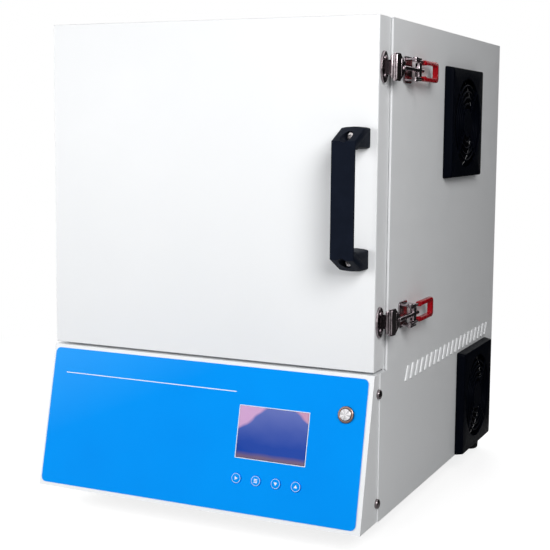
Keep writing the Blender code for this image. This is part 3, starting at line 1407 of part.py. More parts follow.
def hook(name, centre, hub):
    half = CLAW_TALL * HALF_SHARE
    claw = prism(name, claw_outline(), "Z", centre - half, centre + half)
    tip = YOKE_TIP_TALL * HALF_SHARE
    wedges = []
    for side in (-1, 1):
        outline = [(YOKE_TAPER_START, centre + side * half), (YOKE_BACK, centre + side * tip),
                   (YOKE_BACK + OVERRUN, centre + side * tip),
                   (YOKE_BACK + OVERRUN, centre + side * (half + OVERRUN)),
                   (YOKE_TAPER_START, centre + side * (half + OVERRUN))]
        wedges.append(prism("wedge", outline, "X", ROD_X - OVERRUN, ROD_X + OVERRUN))
    cut(claw, *wedges)
    stem = rod("stem", ROD_RADIUS, "Y", (ROD_X, centre), ROD_START, ROD_END)
    barrel = rod("barrel", TRUNNION_RADIUS, "Z", (ROD_X, TRUNNION_Y), centre - TRUNNION_HALF,
                 centre + TRUNNION_HALF)
    pin_half = LEVER_ARM_TALL * HALF_SHARE
    pin = rod("pin", TRUNNION_PIN_RADIUS, "Z", (ROD_X, TRUNNION_Y), centre - pin_half, centre + pin_half)
    weld(barrel, pin)
    weld(claw, stem, barrel)
    return dress(claw, chrome(), hub, True)


def hairpin(name, centre, half_tall, strip, start, end, wide, corner):
    # Strip bent into a U, open to the front, standing on edge in the YZ plane.
    open_end = start - corner - OVERRUN
    outer = rounded(open_end, end, centre - half_tall, centre + half_tall, corner)
    inner = rounded(open_end - OVERRUN, end - strip, centre - half_tall + strip,
                    centre + half_tall - strip, corner - strip)
    made = prism(name, outer, "X", ROD_X - wide * HALF_SHARE, ROD_X + wide * HALF_SHARE)
    hollow = prism("hollow", inner, "X", ROD_X - wide, ROD_X + wide)
    front = block("front", (ROD_X - wide, ROD_X + wide), (open_end - OVERRUN, start),
                  (centre - half_tall - OVERRUN, centre + half_tall + OVERRUN))
    return cut(made, hollow, front)


def lever(name, centre, hub):
    made = hairpin(name, centre, ARM_OUTER, LEVER_STRIP, LEVER_PIVOT_BACK, LEVER_END,
                   LEVER_CORE_WIDE, GRIP_CORNER - LEVER_STRIP * HALF_SHARE)
    for side in (-1, 1):
        low = centre + side * ARM_OUTER
        high = centre + side * ARM_INNER
        start, end = min(low, high), max(low, high)
        wide = LEVER_WIDE * HALF_SHARE
        eye = rod("eye", wide, "Z", (LEVER_X, LEVER_PIVOT_BACK), start, end)
        neck_end = GRIP_START - GAP * 2
        neck = prism("neck", [(LEVER_X - wide, LEVER_PIVOT_BACK), (LEVER_X + wide, LEVER_PIVOT_BACK),
                              (ROD_X + wide, TRUNNION_Y), (ROD_X + LEVER_CORE_WIDE * HALF_SHARE, neck_end),
                              (ROD_X - LEVER_CORE_WIDE * HALF_SHARE, neck_end),
                              (ROD_X - wide, TRUNNION_Y)], "Z", start, end)
        weld(made, neck, eye)
        hole = rod("hole", RIVET_RADIUS + LATCH_PIN_GAP, "Z", (LEVER_X, LEVER_PIVOT_BACK),
                   start - OVERRUN, end + OVERRUN)
        seat = rod("hole", TRUNNION_PIN_RADIUS + LATCH_PIN_GAP, "Z", (ROD_X, TRUNNION_Y),
                   start - OVERRUN, end + OVERRUN)
        cut(made, hole, seat)
    return dress(made, chrome(), hub, True)


def lever_grip(name, centre, hub):
    # Dipped sleeve over the lever's loop: a ring with a channel that the steel strip fills.
    low = ROD_X - GRIP_THICK * HALF_SHARE
    high = ROD_X + GRIP_THICK * HALF_SHARE
    made = prism(name, rounded(GRIP_START, GRIP_END, centre - GRIP_HALF, centre + GRIP_HALF,
                               GRIP_CORNER), "X", low, high)
    round_edges(made, GRIP_THICK * QUARTER_SHARE, lambda m, d: abs(d.x) < HALF_SHARE)
    hole = prism("hole", rounded(GRIP_HOLE_START, GRIP_HOLE_END, centre - GRIP_HOLE_HALF,
                                 centre + GRIP_HOLE_HALF, GRIP_CORNER * HALF_SHARE), "X",
                 low - OVERRUN, high + OVERRUN)
    cut(made, hole)
    # The front of the ring is open, where the two arms come out.
    opening = block("opening", (low - OVERRUN, high + OVERRUN),
                    (GRIP_START - OVERRUN, GRIP_HOLE_START + GAP),
                    (centre - GRIP_HOLE_HALF, centre + GRIP_HOLE_HALF))
    cut(made, opening)
    channel = hairpin("channel", centre, ARM_OUTER + GAP, LEVER_STRIP + GAP * 2, GRIP_START - OVERRUN,
                      LEVER_END + GAP, LEVER_CORE_WIDE + GAP * 2,
                      GRIP_CORNER - LEVER_STRIP * HALF_SHARE + GAP)
    return dress(cut(made, channel), red_dip(), hub, True)


def bracket(name, centre, root):
    wall = CASE_HALF + GAP
    base = prism(name, rounded(BRACKET_FRONT, BRACKET_BACK, centre - BRACKET_HALF,
                               centre + BRACKET_HALF, EAR_REACH), "X", wall, wall + BRACKET_BASE)
    middle = (BRACKET_FRONT + BRACKET_BACK) * HALF_SHARE
    outer = LEVER_X + EAR_REACH
    nose = circle(EAR_REACH, (LEVER_X, LEVER_PIVOT_BACK), SMALL_STEPS)
    ears = []
    for side in (-1, 1):
        low = centre + side * EAR_INNER
        high = centre + side * (EAR_INNER + EAR_THICK)
        start, end = min(low, high), max(low, high)
        outline = [(wall, BRACKET_FRONT + EAR_REACH), (LEVER_X, LEVER_PIVOT_BACK - EAR_REACH),
                   (outer, LEVER_PIVOT_BACK), (outer, middle + EAR_REACH), (wall, BRACKET_BACK - EAR_REACH)]
        ear = prism("ear", outline, "Z", start, end)
        weld(ear, prism("nose", nose, "Z", start, end))
        ears.append(weld(ear, rivet(centre, side)))
    weld(base, *ears)
    return dress(base, chrome(), root, True)


def rivet(centre, side):
    # Pin that carries one arm of the lever, headed over on the outside of the ear.
    seat = centre + side * (EAR_INNER + EAR_THICK)
    top = seat + side * RIVET_HEAD_THICK
    start = centre + side * ARM_INNER
    profile = [(0, start), (RIVET_RADIUS, start), (RIVET_RADIUS, seat), (RIVET_HEAD_RADIUS, seat),
               (RIVET_HEAD_RADIUS, top), (0, top)]
    return turned("rivet", profile, "Z", (LEVER_X, LEVER_PIVOT_BACK), SMALL_STEPS)


def latch(word, centre, root, door):
    keeper(word + "_keeper", centre, door)
    bracket(word + "_latch_bracket", centre, root)
    swing = pivot(word + "_lever_pivot", (LEVER_X, LEVER_PIVOT_BACK, centre), root)
    lever(word + "_latch_lever", centre, swing)
    lever_grip(word + "_lever_grip", centre, swing)
    turn = pivot(word + "_hook_pivot", (ROD_X, TRUNNION_Y, centre), swing)
    hook(word + "_latch_hook", centre, turn)


def build_case(root):
    base_tray(root)
    side_panels(root)
    top_cover(root)
    rear_panel(root)
    front_frame(root)
    mid_shelf(root)
    rubber_feet(root)


def build_panel(root):
    control_panel(root)
    panel_overlay(root)
    display_window(root)
    display_module(root)
    control_board(root)
    keys(root)
    power_button(root)


def build_chamber(root):
    vacuum_chamber(root)
    door_seal(root)
    insulation_liner(root)
    heaters(root)
    hearth_plate(root)
    thermocouple(root)
    vacuum_port(root)


def build_bay(root):
    transformer(root)
    power_regulator(root)
    mains_inlet(root)
    places = (("upper", UPPER_FAN_BACK, UPPER_FAN_HEIGHT), ("lower", LOWER_FAN_BACK, LOWER_FAN_HEIGHT))
    for word, back, height in places:
        guard(word + "_fan_guard", back, height, root)
        fan_frame(word + "_fan_frame", back, height, root)
        fan_rotor(word + "_fan_rotor", back, height, root)


def build_door(root):
    door = pivot("door_pivot", (HINGE_X, HINGE_Y, CENTRE_Z), root)
    door_body(door)
    door_plug(door)
    door_handle(door)
    for word, side in (("upper", 1), ("lower", -1)):
        centre = CENTRE_Z + side * HINGE_SPREAD
        case_leaf(word + "_hinge_case_leaf", centre, root)
        hinge_pin(word + "_hinge_pin", centre, root)
        door_leaf(word + "_hinge_door_leaf", centre, door)
        latch(word, CENTRE_Z + side * LATCH_SPREAD, root, door)


def main():
    clear_scene()
    root = furnace_empty()
    build_case(root)
    build_panel(root)
    build_chamber(root)
    build_bay(root)
    build_door(root)


main()
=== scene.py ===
# %% [markdown]
# # A bench vacuum furnace, dressed for a studio picture
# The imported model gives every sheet, latch and foot at its true size and place. This lesson adds what
# the eye expects from it: paint with a skin, brushed and plated metal, dipped plastic, round edges,
# screws, rings and coils. The camera comes first, then the light, the finishes and the pieces.

# %% Load the frame and measure it
import json
import math

import bmesh
import bpy
from mathutils import Matrix, Vector
from mathutils.bvhtree import BVHTree

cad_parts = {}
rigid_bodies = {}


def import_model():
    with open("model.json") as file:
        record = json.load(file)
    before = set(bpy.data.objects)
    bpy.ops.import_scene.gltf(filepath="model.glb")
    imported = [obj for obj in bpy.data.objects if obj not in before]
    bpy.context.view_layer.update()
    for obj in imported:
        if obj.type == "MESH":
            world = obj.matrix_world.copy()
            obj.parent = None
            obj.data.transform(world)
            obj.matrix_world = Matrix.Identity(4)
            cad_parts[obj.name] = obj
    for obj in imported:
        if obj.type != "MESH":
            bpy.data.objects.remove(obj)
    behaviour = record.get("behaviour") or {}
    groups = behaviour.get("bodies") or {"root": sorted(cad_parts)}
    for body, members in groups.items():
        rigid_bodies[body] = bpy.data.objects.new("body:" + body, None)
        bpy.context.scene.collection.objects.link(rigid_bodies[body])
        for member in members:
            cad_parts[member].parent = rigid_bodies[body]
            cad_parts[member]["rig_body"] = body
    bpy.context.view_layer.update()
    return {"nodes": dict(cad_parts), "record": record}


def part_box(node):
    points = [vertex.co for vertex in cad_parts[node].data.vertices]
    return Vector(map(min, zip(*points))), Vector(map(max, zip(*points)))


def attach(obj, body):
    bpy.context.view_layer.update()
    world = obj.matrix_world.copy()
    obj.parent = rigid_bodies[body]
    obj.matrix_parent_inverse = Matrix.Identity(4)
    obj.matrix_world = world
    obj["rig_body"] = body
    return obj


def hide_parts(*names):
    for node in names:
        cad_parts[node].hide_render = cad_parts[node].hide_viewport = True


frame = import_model()
nodes = frame["nodes"]
MM = 0.001

# %% [markdown]
# ## Short helpers for objects and nodes
# The lesson often puts an object in the scene and adds a node to a tree. `stand` does the first.
# `add` does the second: it makes a node, and fills each input with a value or another node's output.
# `maths` adds one step of arithmetic to a tree, and `node_material` starts a material.

# %% Define the short helpers


def stand(name, data):
    made = bpy.data.objects.new(name, data)
    bpy.context.scene.collection.objects.link(made)
    return made


def add(tree, kind, inputs=None, **settings):
    made = tree.nodes.new(kind)
    for label, value in settings.items():
        setattr(made, label, value)
    for label, value in (inputs or {}).items():
        if isinstance(value, bpy.types.NodeSocket):
            tree.links.new(value, made.inputs[label])
        else:
            made.inputs[label].default_value = value
    return made


def node_material(name):
    made = bpy.data.materials.new(name)
    made.use_nodes = True
    return made, made.node_tree


def maths(tree, operation, first, second=0.0):
    return add(tree, "ShaderNodeMath", {0: first, 1: second}, operation=operation).outputs[0]


print("short helpers ready")

# %% [markdown]
# ## The camera
# The photograph was taken from the right of the door, a little above its middle. The place, the turn
# and the lens were fitted to the straight edges of the case. A tripod is rarely level, so there is a
# small roll as well, and a small shift keeps the furnace where it stands in the frame.

# %% Set the camera
CAMERA_PLACE = Vector((0.60785, -1.3454, 0.4429))
CAMERA_YAW = 0.4271
CAMERA_PITCH = 0.1060
CAMERA_ROLL = 0.0103
LENS_MM = 75.67
SENSOR_MM = 36.0
SHIFT = (-0.0267, -0.0420)


def camera_turn(yaw, pitch, roll):
    forward = Vector((-math.sin(yaw) * math.cos(pitch), math.cos(yaw) * math.cos(pitch), -math.sin(pitch)))
    right = Vector((math.cos(yaw), math.sin(yaw), 0))
    up = right.cross(forward)
    across = math.cos(roll) * right + math.sin(roll) * up
    above = math.cos(roll) * up - math.sin(roll) * right
    return Matrix((across, above, -forward)).transposed().to_4x4()


def add_camera():
    data = bpy.data.cameras.new("studio_camera")
    data.lens = LENS_MM
    data.sensor_width = SENSOR_MM
    data.shift_x, data.shift_y = SHIFT
    made = stand("studio_camera", data)
    made.matrix_world = Matrix.Translation(CAMERA_PLACE) @ camera_turn(CAMERA_YAW, CAMERA_PITCH, CAMERA_ROLL)
    bpy.context.scene.camera = made


add_camera()
bpy.context.scene.view_settings.view_transform = "Standard"
print("camera stands", round((CAMERA_PLACE - Vector((0, 0, 0.3))).length, 2), "m away")

# %% [markdown]
# ## Floor, sky and lamps
# A white product needs a white room that still lets its sides turn grey. The sky is white only for
# the rays that the camera, glossy metal and glass send out, and lights the paint at a lower level.
# The photograph's light comes from beside the camera and from above, so the door is bright and the
# side grows darker to the rear. Three more lamps open the door's far edge, the left and the back.
# Chrome looks like chrome when it has something dark to mirror, so a curved black card lies and
# stands on the right, where only reflections find it, as in a real studio. It is lower at its rear
# end, so that a patch of sky draws bright lines along the latch rods.

# %% Make the sky
SKY_LEVEL = 0.10
SKY_TINT = (0.97, 0.985, 1.0)


def add_sky():
    world = bpy.data.worlds.new("studio_sky")
    world.use_nodes = True
    bpy.context.scene.world = world
    tree = world.node_tree
    light = tree.nodes["Background"]
    light.inputs["Color"].default_value = (*SKY_TINT, 1)
    light.inputs["Strength"].default_value = SKY_LEVEL
    seen = add(tree, "ShaderNodeBackground", {"Color": (1, 1, 1, 1)})
    path = add(tree, "ShaderNodeLightPath").outputs
    ray = maths(tree, "MAXIMUM", path["Is Camera Ray"], path["Is Glossy Ray"])
    ray = maths(tree, "MAXIMUM", ray, path["Is Transmission Ray"])
    mix = add(tree, "ShaderNodeMixShader", {"Fac": ray, 1: light.outputs[0], 2: seen.outputs[0]})
    tree.links.new(mix.outputs[0], tree.nodes["World Output"].inputs["Surface"])


add_sky()
print("sky level for paint:", SKY_LEVEL)

# %% Lay the floor
FLOOR_RADIUS = 5.0
FLOOR_FADE = (0.45, 1.1)
FLOOR_COLOUR = 0.40
FLOOR_LIFT = 0.80


def floor_material():
    made, tree = node_material("pale_floor")
    tree.nodes.remove(tree.nodes["Principled BSDF"])
    seen = add(tree, "ShaderNodeLightPath").outputs["Is Camera Ray"]
    matt = add(tree, "ShaderNodeBsdfDiffuse", {"Color": (*[FLOOR_COLOUR] * 3, 1)})
    glow = add(tree, "ShaderNodeEmission", {"Strength": maths(tree, "MULTIPLY", seen, FLOOR_LIFT)})
    near = add(tree, "ShaderNodeAddShader", {0: matt.outputs[0], 1: glow.outputs[0]})
    place = add(tree, "ShaderNodeTexCoord").outputs["Object"]
    distance = add(tree, "ShaderNodeVectorMath", {0: place}, operation="LENGTH").outputs["Value"]
    fade = add(tree, "ShaderNodeMapRange",
               {"Value": distance, "From Min": FLOOR_FADE[0], "From Max": FLOOR_FADE[1]},
               interpolation_type="SMOOTHSTEP").outputs["Result"]
    white = add(tree, "ShaderNodeEmission")
    mix = add(tree, "ShaderNodeMixShader",
              {"Fac": maths(tree, "MULTIPLY", fade, seen), 1: near.outputs[0], 2: white.outputs[0]})
    tree.links.new(mix.outputs[0], tree.nodes["Material Output"].inputs["Surface"])
    return made


def add_floor():
    shape = bmesh.new()
    bmesh.ops.create_circle(shape, cap_ends=True, segments=64, radius=FLOOR_RADIUS)
    mesh = bpy.data.meshes.new("floor")
    shape.to_mesh(mesh)
    shape.free()
    mesh.materials.append(floor_material())
    stand("floor", mesh)


add_floor()
print("floor laid at height 0")

# %% Hang the lamps and set up the black card
LAMPS = {
    # name: place, point it looks at, width, power
    "key_lamp": ((0.95, -1.2, 1.0), (0.05, -0.1, 0.3), 0.8, 16.0),
    "fill_lamp": ((-1.3, -1.7, 0.6), (-0.1, -0.25, 0.2), 1.0, 23.5),
    "left_lamp": ((-2.0, 0.4, 1.2), (-0.2, 0, 0.3), 1.0, 20.0),
    "back_lamp": ((-0.5, 2.2, 1.4), (0, 0.25, 0.3), 1.2, 30.0),
}
CARD_PROFILE = ((0.42, 0.002), (1.9, 0.002), (1.9, 1.7))
CARD_FROM = math.radians(-42)
CARD_TO = math.radians(82)
CARD_STEPS = 16
CARD_NOTCH = math.radians(60)
CARD_NOTCH_TALL = 0.8
CARD_SHADE = 0.008


def add_lamp(name, place, target, width, power):
    data = bpy.data.lights.new(name, "AREA")
    data.shape = "DISK"
    data.size = width
    data.energy = power
    made = stand(name, data)
    aim = (Vector(target) - Vector(place)).to_track_quat("-Z", "Y")
    made.matrix_world = Matrix.Translation(place) @ aim.to_matrix().to_4x4()
    made.visible_glossy = name == "key_lamp"


def add_card():
    corners, faces = [], []
    rows = len(CARD_PROFILE)
    for step in range(CARD_STEPS + 1):
        turn = CARD_FROM + (CARD_TO - CARD_FROM) * step / CARD_STEPS
        tallest = CARD_NOTCH_TALL if turn > CARD_NOTCH else CARD_PROFILE[-1][1]
        for reach, height in CARD_PROFILE:
            corners.append((reach * math.cos(turn), reach * math.sin(turn), min(height, tallest)))
    for step in range(CARD_STEPS):
        for first in range(step * rows, (step + 1) * rows - 1):
            faces.append((first, first + rows, first + rows + 1, first + 1))
    mesh = bpy.data.meshes.new("black_card")
    mesh.from_pydata(corners, [], faces)
    paint, tree = node_material("card_black")
    shader = tree.nodes["Principled BSDF"].inputs
    shader["Base Color"].default_value = (*[CARD_SHADE] * 3, 1)
    shader["Roughness"].default_value = 1.0
    mesh.materials.append(paint)
    made = stand("black_card", mesh)
    for ray in ("camera", "diffuse", "shadow", "transmission"):
        setattr(made, "visible_" + ray, False)


for lamp_name, lamp in LAMPS.items():
    add_lamp(lamp_name, *lamp)
add_card()
print("lamps:", ", ".join(LAMPS))

# %% [markdown]
# ## A small kit for finishes
# Every finish starts from one shader and adds grain, tone, wear and bumps from noise that is fixed to
# the object, and some add painted shade in corners and painted highlights on edges. A short class keeps the node
# trees readable: each call adds one idea, in metres, so a grain of half a millimetre is written as half a
# millimetre.


class Finish:
    def __init__(self, name, colour, roughness, metallic=0.0, **sockets):
        self.material, self.tree = node_material(name)
        self.shader = self.tree.nodes["Principled BSDF"].inputs
        self.colour = (*colour, 1)
        sockets.update(Base_Color=self.colour, Roughness=roughness, Metallic=metallic)
        for label, value in sockets.items():
            self.shader[label.replace("_", " ")].default_value = value
        self.place = self.add("ShaderNodeTexCoord").outputs["Object"]

    def add(self, kind, inputs=None, **settings):
        return add(self.tree, kind, inputs, **settings)

    def stretched(self, stretch, turn=(0, 0, 0), place=None):
        # Coordinates that are squeezed along each axis, so a noise read there is drawn out.
        inputs = {"Scale": stretch, "Rotation": turn, "Vector": place or self.place}
        return self.add("ShaderNodeMapping", inputs).outputs["Vector"]

    def noise(self, size, detail=3.0, sharp=0.5, place=None):
        # Soft random values with patches of about this size, in metres.
        inputs = {"Scale": 1 / size, "Detail": detail, "Roughness": sharp, "Vector": place or self.place}
        return self.add("ShaderNodeTexNoise", inputs).outputs["Fac"]

    def spread(self, value, low, high, start=0.3, end=0.7):
        inputs = {"Value": value, "From Min": start, "From Max": end, "To Min": low, "To Max": high}
        return self.add("ShaderNodeMapRange", inputs).outputs["Result"]

    def tint(self, value, amount, colour, start=0.3, end=0.7):
        # Lays up to this amount of a second colour over what the shader has, where value is high.
        base = self.shader["Base Color"]
        under = base.links[0].from_socket if base.is_linked else self.colour
        factor = self.spread(value, 0.0, amount, start, end)
        inputs = {"Factor": factor, "A": under, "B": (*colour, 1)}
        mix = self.add("ShaderNodeMix", inputs, data_type="RGBA")
        self.tree.links.new(mix.outputs["Result"], base)

    def rough(self, value, low, high):
        self.tree.links.new(self.spread(value, low, high), self.shader["Roughness"])

    def bump(self, value, depth):
        made = self.add("ShaderNodeBump", {"Height": value, "Distance": depth})
        self.tree.links.new(made.outputs["Normal"], self.shader["Normal"])

    def edges(self, width):
        # High where the surface turns sharply, low on flats: the mask for edge wear on the white paint, and for
        # painted edge highlights on the plated metal and the moulded plastics.
        bevel = self.add("ShaderNodeBevel", {"Radius": width}, samples=4).outputs["Normal"]
        shape = self.add("ShaderNodeNewGeometry").outputs["Normal"]
        dot = self.add("ShaderNodeVectorMath", {0: bevel, 1: shape}, operation="DOT_PRODUCT")
        return self.spread(dot.outputs["Value"], 1.0, 0.0, 0.80, 0.99)

    def crevices(self, reach):
        # High deep in corners and under overlaps, where shade and dark reflections fall: a tint laid with it is
        # painted shade.
        shade = self.add("ShaderNodeAmbientOcclusion", {"Distance": reach}, samples=8)
        return self.spread(shade.outputs["AO"], 1.0, 0.0, 0.15, 0.95)


def scaled(colour, share):
    return [value * share for value in colour]


print("finish kit ready")

# %% [markdown]
# ## Painted sheet and blue film
# The case is folded steel with white powder paint. Powder melts into a skin with low waves, called
# orange peel, which only shows in the shine. The blue film is a printed plastic sheet with a satin grain.
# Flat white and flat blue would look like paper, so both get a grain and faint uneven tones, and the film gets a
# painted sheen, lighter towards its upper left.

# %% Mix the white paint
WHITE = (0.875, 0.885, 0.895)

made = Finish("white_powder_paint", WHITE, 0.42, Specular_IOR_Level=0.35)
made.tint(made.noise(140 * MM, 2.0), 0.35, (0.83, 0.845, 0.86))
made.rough(made.noise(18 * MM, 4.0), 0.34, 0.50)
made.bump(made.noise(1.4 * MM, 2.0), 0.010 * MM)
made.tint(made.edges(0.5 * MM), 0.35, (0.72, 0.73, 0.75), 0.2, 1.0)
white_paint = made.material
print("white paint mixed")

# %% Print the blue film
BLUE = (0.0, 0.280, 0.88)

made = Finish("blue_satin_film", BLUE, 0.42, Specular_IOR_Level=0.07)
made.tint(made.noise(90 * MM, 2.0), 0.4, (0.0, 0.325, 0.95))
# Painted sheen: the film is tinted lighter towards its upper left, where its gloss catches the light.
axes = made.add("ShaderNodeSeparateXYZ", {0: made.place}).outputs
corner = made.add("ShaderNodeMath", {0: axes["X"], 1: -0.45, 2: axes["Z"]}, operation="MULTIPLY_ADD")
made.tint(corner.outputs[0], 0.5, (0.06, 0.42, 1.0), 0.17, 0.29)
made.rough(made.noise(6 * MM, 4.0), 0.36, 0.48)
made.bump(made.noise(0.6 * MM, 2.0), 0.004 * MM)
blue_film = made.material

made = Finish("white_screen_ink", (0.88, 0.90, 0.92), 0.5)
made.tint(made.noise(0.5 * MM, 2.0), 0.5, (0.70, 0.78, 0.90))
made.rough(made.noise(2 * MM), 0.42, 0.58)
made.bump(made.noise(0.3 * MM, 2.0), 0.004 * MM)
ink = made.material
print("film and ink ready")

# %% [markdown]
# ## Metals
# Plated latches are smooth but never clean: they have fine scratches and smudges, and their corners get painted
# shade and their edges a painted highlight. Stainless sheet is brushed along one way, so its grain is a noise
# drawn out along that way. The push button's face is brushed from its middle outwards, and the wedges of light
# and dark that such brushing shows in reflection are painted into its colour. Its grain reads a map of its own
# that holds the turn and the distance from the middle.

# %% Plate and brush the metals
made = Finish("dark_chrome_plate", (0.54, 0.48, 0.50), 0.14, 1.0)
made.tint(made.noise(5 * MM, 2.0), 0.8, (0.30, 0.235, 0.26))
# Painted shade: corners and overlaps are tinted nearly black.
made.tint(made.crevices(9 * MM), 0.95, (0.035, 0.025, 0.03))
# Painted highlight: edges are tinted lighter.
made.tint(made.edges(0.5 * MM), 0.6, (0.80, 0.77, 0.78), 0.1, 1.0)
scratches = made.noise(0.25 * MM, 2.0, 0.7, made.stretched((1, 0.06, 1), (0, 0.3, 0.2)))
made.rough(made.noise(3 * MM, 5.0), 0.09, 0.24)
made.bump(scratches, 0.004 * MM)
chrome = made.material


def brushed(name, colour, along, low, high):
    made = Finish(name, colour, (low + high) / 2, 1.0)
    stretch = [0.012 if axis == along else 1.0 for axis in "XYZ"]
    lines = made.noise(0.35 * MM, 3.0, 0.6, made.stretched(stretch))
    made.tint(lines, 0.5, scaled(colour, 0.72))
    made.tint(made.noise(25 * MM, 3.0), 0.25, scaled(colour, 0.8))
    made.rough(lines, low, high)
    made.bump(lines, 0.005 * MM)
    return made.material


def wedge_brushed(name, colour):
    made = Finish(name, colour, 0.24, 1.0)
    polar = made.add("ShaderNodeUVMap", uv_map="polar").outputs["UV"]
    painted_wedge_sheen = made.noise(0.085, 1.0, 0.5, made.stretched((1, 0.02, 1), place=polar))
    hairs = made.noise(0.0025, 2.0, 0.6, made.stretched((1, 0.03, 1), place=polar))
    # Painted sheen: wedges of light and dark, as radial brushing shows them in reflection.
    made.tint(painted_wedge_sheen, 1.0, scaled(colour, 0.55), 0.40, 0.60)
    made.tint(hairs, 0.4, scaled(colour, 0.85))
    made.rough(hairs, 0.18, 0.34)
    made.bump(hairs, 0.004 * MM)
    return made.material


made = Finish("zinc_sheet", (0.52, 0.54, 0.56), 0.42, 1.0)
cells = made.add("ShaderNodeTexVoronoi", {"Scale": 1 / (11 * MM), "Vector": made.place})
shade = made.add("ShaderNodeRGBToBW", {"Color": cells.outputs["Color"]}).outputs["Val"]
made.tint(shade, 0.6, (0.36, 0.38, 0.40))
made.rough(shade, 0.34, 0.52)
made.bump(made.noise(2 * MM), 0.006 * MM)
zinc = made.material


def screw_steel(name, colour, low, high):
    made = Finish(name, colour, low, 1.0)
    made.tint(made.noise(1.5 * MM), 0.5, scaled(colour, 0.6))
    # Painted shade: corners, slots and sockets are tinted nearly black.
    made.tint(made.crevices(2 * MM), 0.9, scaled(colour, 0.08))
    made.rough(made.noise(0.8 * MM, 4.0), low, high)
    made.bump(made.noise(0.3 * MM, 2.0), 0.004 * MM)
    return made.material


stainless = brushed("brushed_stainless", (0.60, 0.59, 0.58), "X", 0.22, 0.40)
hinge_steel = brushed("brushed_hinge_steel", (0.62, 0.61, 0.60), "Z", 0.20, 0.36)
button_face = wedge_brushed("wedge_brushed_steel", (0.95, 0.94, 0.96))
# The bezel's dark copper colour is a painted dark reflection on polished steel.
button_ring = screw_steel("polished_bezel", (0.42, 0.28, 0.24), 0.06, 0.12)
dark_screw = screw_steel("dark_screw_steel", (0.30, 0.26, 0.27), 0.16, 0.30)
bright_screw = screw_steel("bright_screw_steel", (0.80, 0.76, 0.76), 0.12, 0.24)
print("metals ready")

# %% [markdown]
# ## Plastics, rubber and dip
# The handle and the fan covers are moulded nylon: nearly black, with a fine spark-eroded grain, and their edges
# painted a little lighter as a painted highlight. The lever loops are dipped in soft red plastic, which flows
# into a glossy, slightly wavy skin. Feet and seal are rubber, which hardly shines at all.

# %% Mould the plastics


def moulded(name, colour, low, high, grain, shine=0.3):
    made = Finish(name, colour, low, Specular_IOR_Level=shine)
    made.tint(made.noise(12 * MM, 3.0), 0.5, scaled(colour, 1.5))
    made.rough(made.noise(4 * MM, 4.0), low, high)
    made.bump(made.noise(grain, 2.0, 0.6), 0.012 * MM)
    # Painted highlight: edges are tinted lighter.
    made.tint(made.edges(0.6 * MM), 0.5, scaled(colour, 2.6), 0.2, 1.0)
    return made.material


made = Finish("dipped_red", (0.40, 0.0, 0.006), 0.24, Specular_IOR_Level=0.2, Coat_Weight=0.2,
              Coat_Roughness=0.08)
made.tint(made.noise(7 * MM, 2.0), 0.6, (0.30, 0.0, 0.006))
made.rough(made.noise(3 * MM), 0.18, 0.34)
made.bump(made.noise(2.5 * MM, 2.0), 0.05 * MM)
red_dip = made.material


def soft_rubber(name, colour):
    made = Finish(name, colour, 0.8, Specular_IOR_Level=0.2)
    made.tint(made.noise(5 * MM, 4.0), 0.6, scaled(colour, 2.0))
    made.rough(made.noise(2 * MM), 0.68, 0.9)
    made.bump(made.noise(0.5 * MM, 3.0), 0.02 * MM)
    return made.material


handle_nylon = moulded("handle_nylon", (0.0062, 0.0084, 0.0150), 0.42, 0.54, 0.5 * MM, 0.02)
guard_nylon = moulded("cover_nylon", (0.0010, 0.0016, 0.0038), 0.34, 0.46, 0.5 * MM, 0.025)
fan_plastic = moulded("fan_plastic", (0.003, 0.003, 0.004), 0.45, 0.6, 0.7 * MM, 0.06)
foot_rubber = soft_rubber("foot_rubber", (0.008, 0.008, 0.009))
seal_rubber = soft_rubber("seal_silicone", (0.30, 0.030, 0.020))
print("plastics and rubber ready")

# %% [markdown]
# ## What lies inside
# Behind the door are pressed ceramic fibre, a fired hearth and coiled heating wire with a dull oxide
# skin. In the bay are a transformer of stacked iron sheets and a green circuit board. Each has a
# structure of its own: fibres, specks, sheets or tracks.

# %% Make the inner finishes
made = Finish("ceramic_fibre", (0.84, 0.82, 0.77), 0.95, Specular_IOR_Level=0.15)
strands = made.noise(1.2 * MM, 5.0, 0.7, made.stretched((1, 0.25, 0.5), (0.4, 0.2, 0.3)))
made.tint(strands, 0.6, (0.70, 0.67, 0.60))
made.tint(made.noise(30 * MM, 3.0), 0.3, (0.74, 0.68, 0.58))
made.rough(strands, 0.86, 1.0)
made.bump(strands, 0.12 * MM)
fibre = made.material

made = Finish("fired_ceramic", (0.66, 0.60, 0.51), 0.8)
made.tint(made.noise(0.9 * MM, 2.0), 1.0, (0.30, 0.24, 0.18), 0.60, 0.68)
made.rough(made.noise(6 * MM), 0.7, 0.92)
made.bump(made.noise(0.8 * MM, 4.0), 0.03 * MM)
ceramic = made.material

made = Finish("oxidised_wire", (0.20, 0.18, 0.17), 0.6, 0.8)
made.tint(made.noise(8 * MM, 4.0), 0.7, (0.12, 0.08, 0.06))
made.rough(made.noise(3 * MM), 0.5, 0.75)
made.bump(made.noise(0.4 * MM), 0.01 * MM)
wire = made.material

made = Finish("stacked_iron", (0.16, 0.12, 0.085), 0.45, 0.3)
sheets = made.add("ShaderNodeTexWave", {"Scale": 320.0, "Distortion": 0.6, "Vector": made.place},
                  bands_direction="Y").outputs["Fac"]
made.tint(sheets, 0.7, (0.05, 0.035, 0.025), 0.1, 0.9)
made.rough(made.noise(5 * MM), 0.35, 0.6)
made.bump(sheets, 0.04 * MM)
iron = made.material

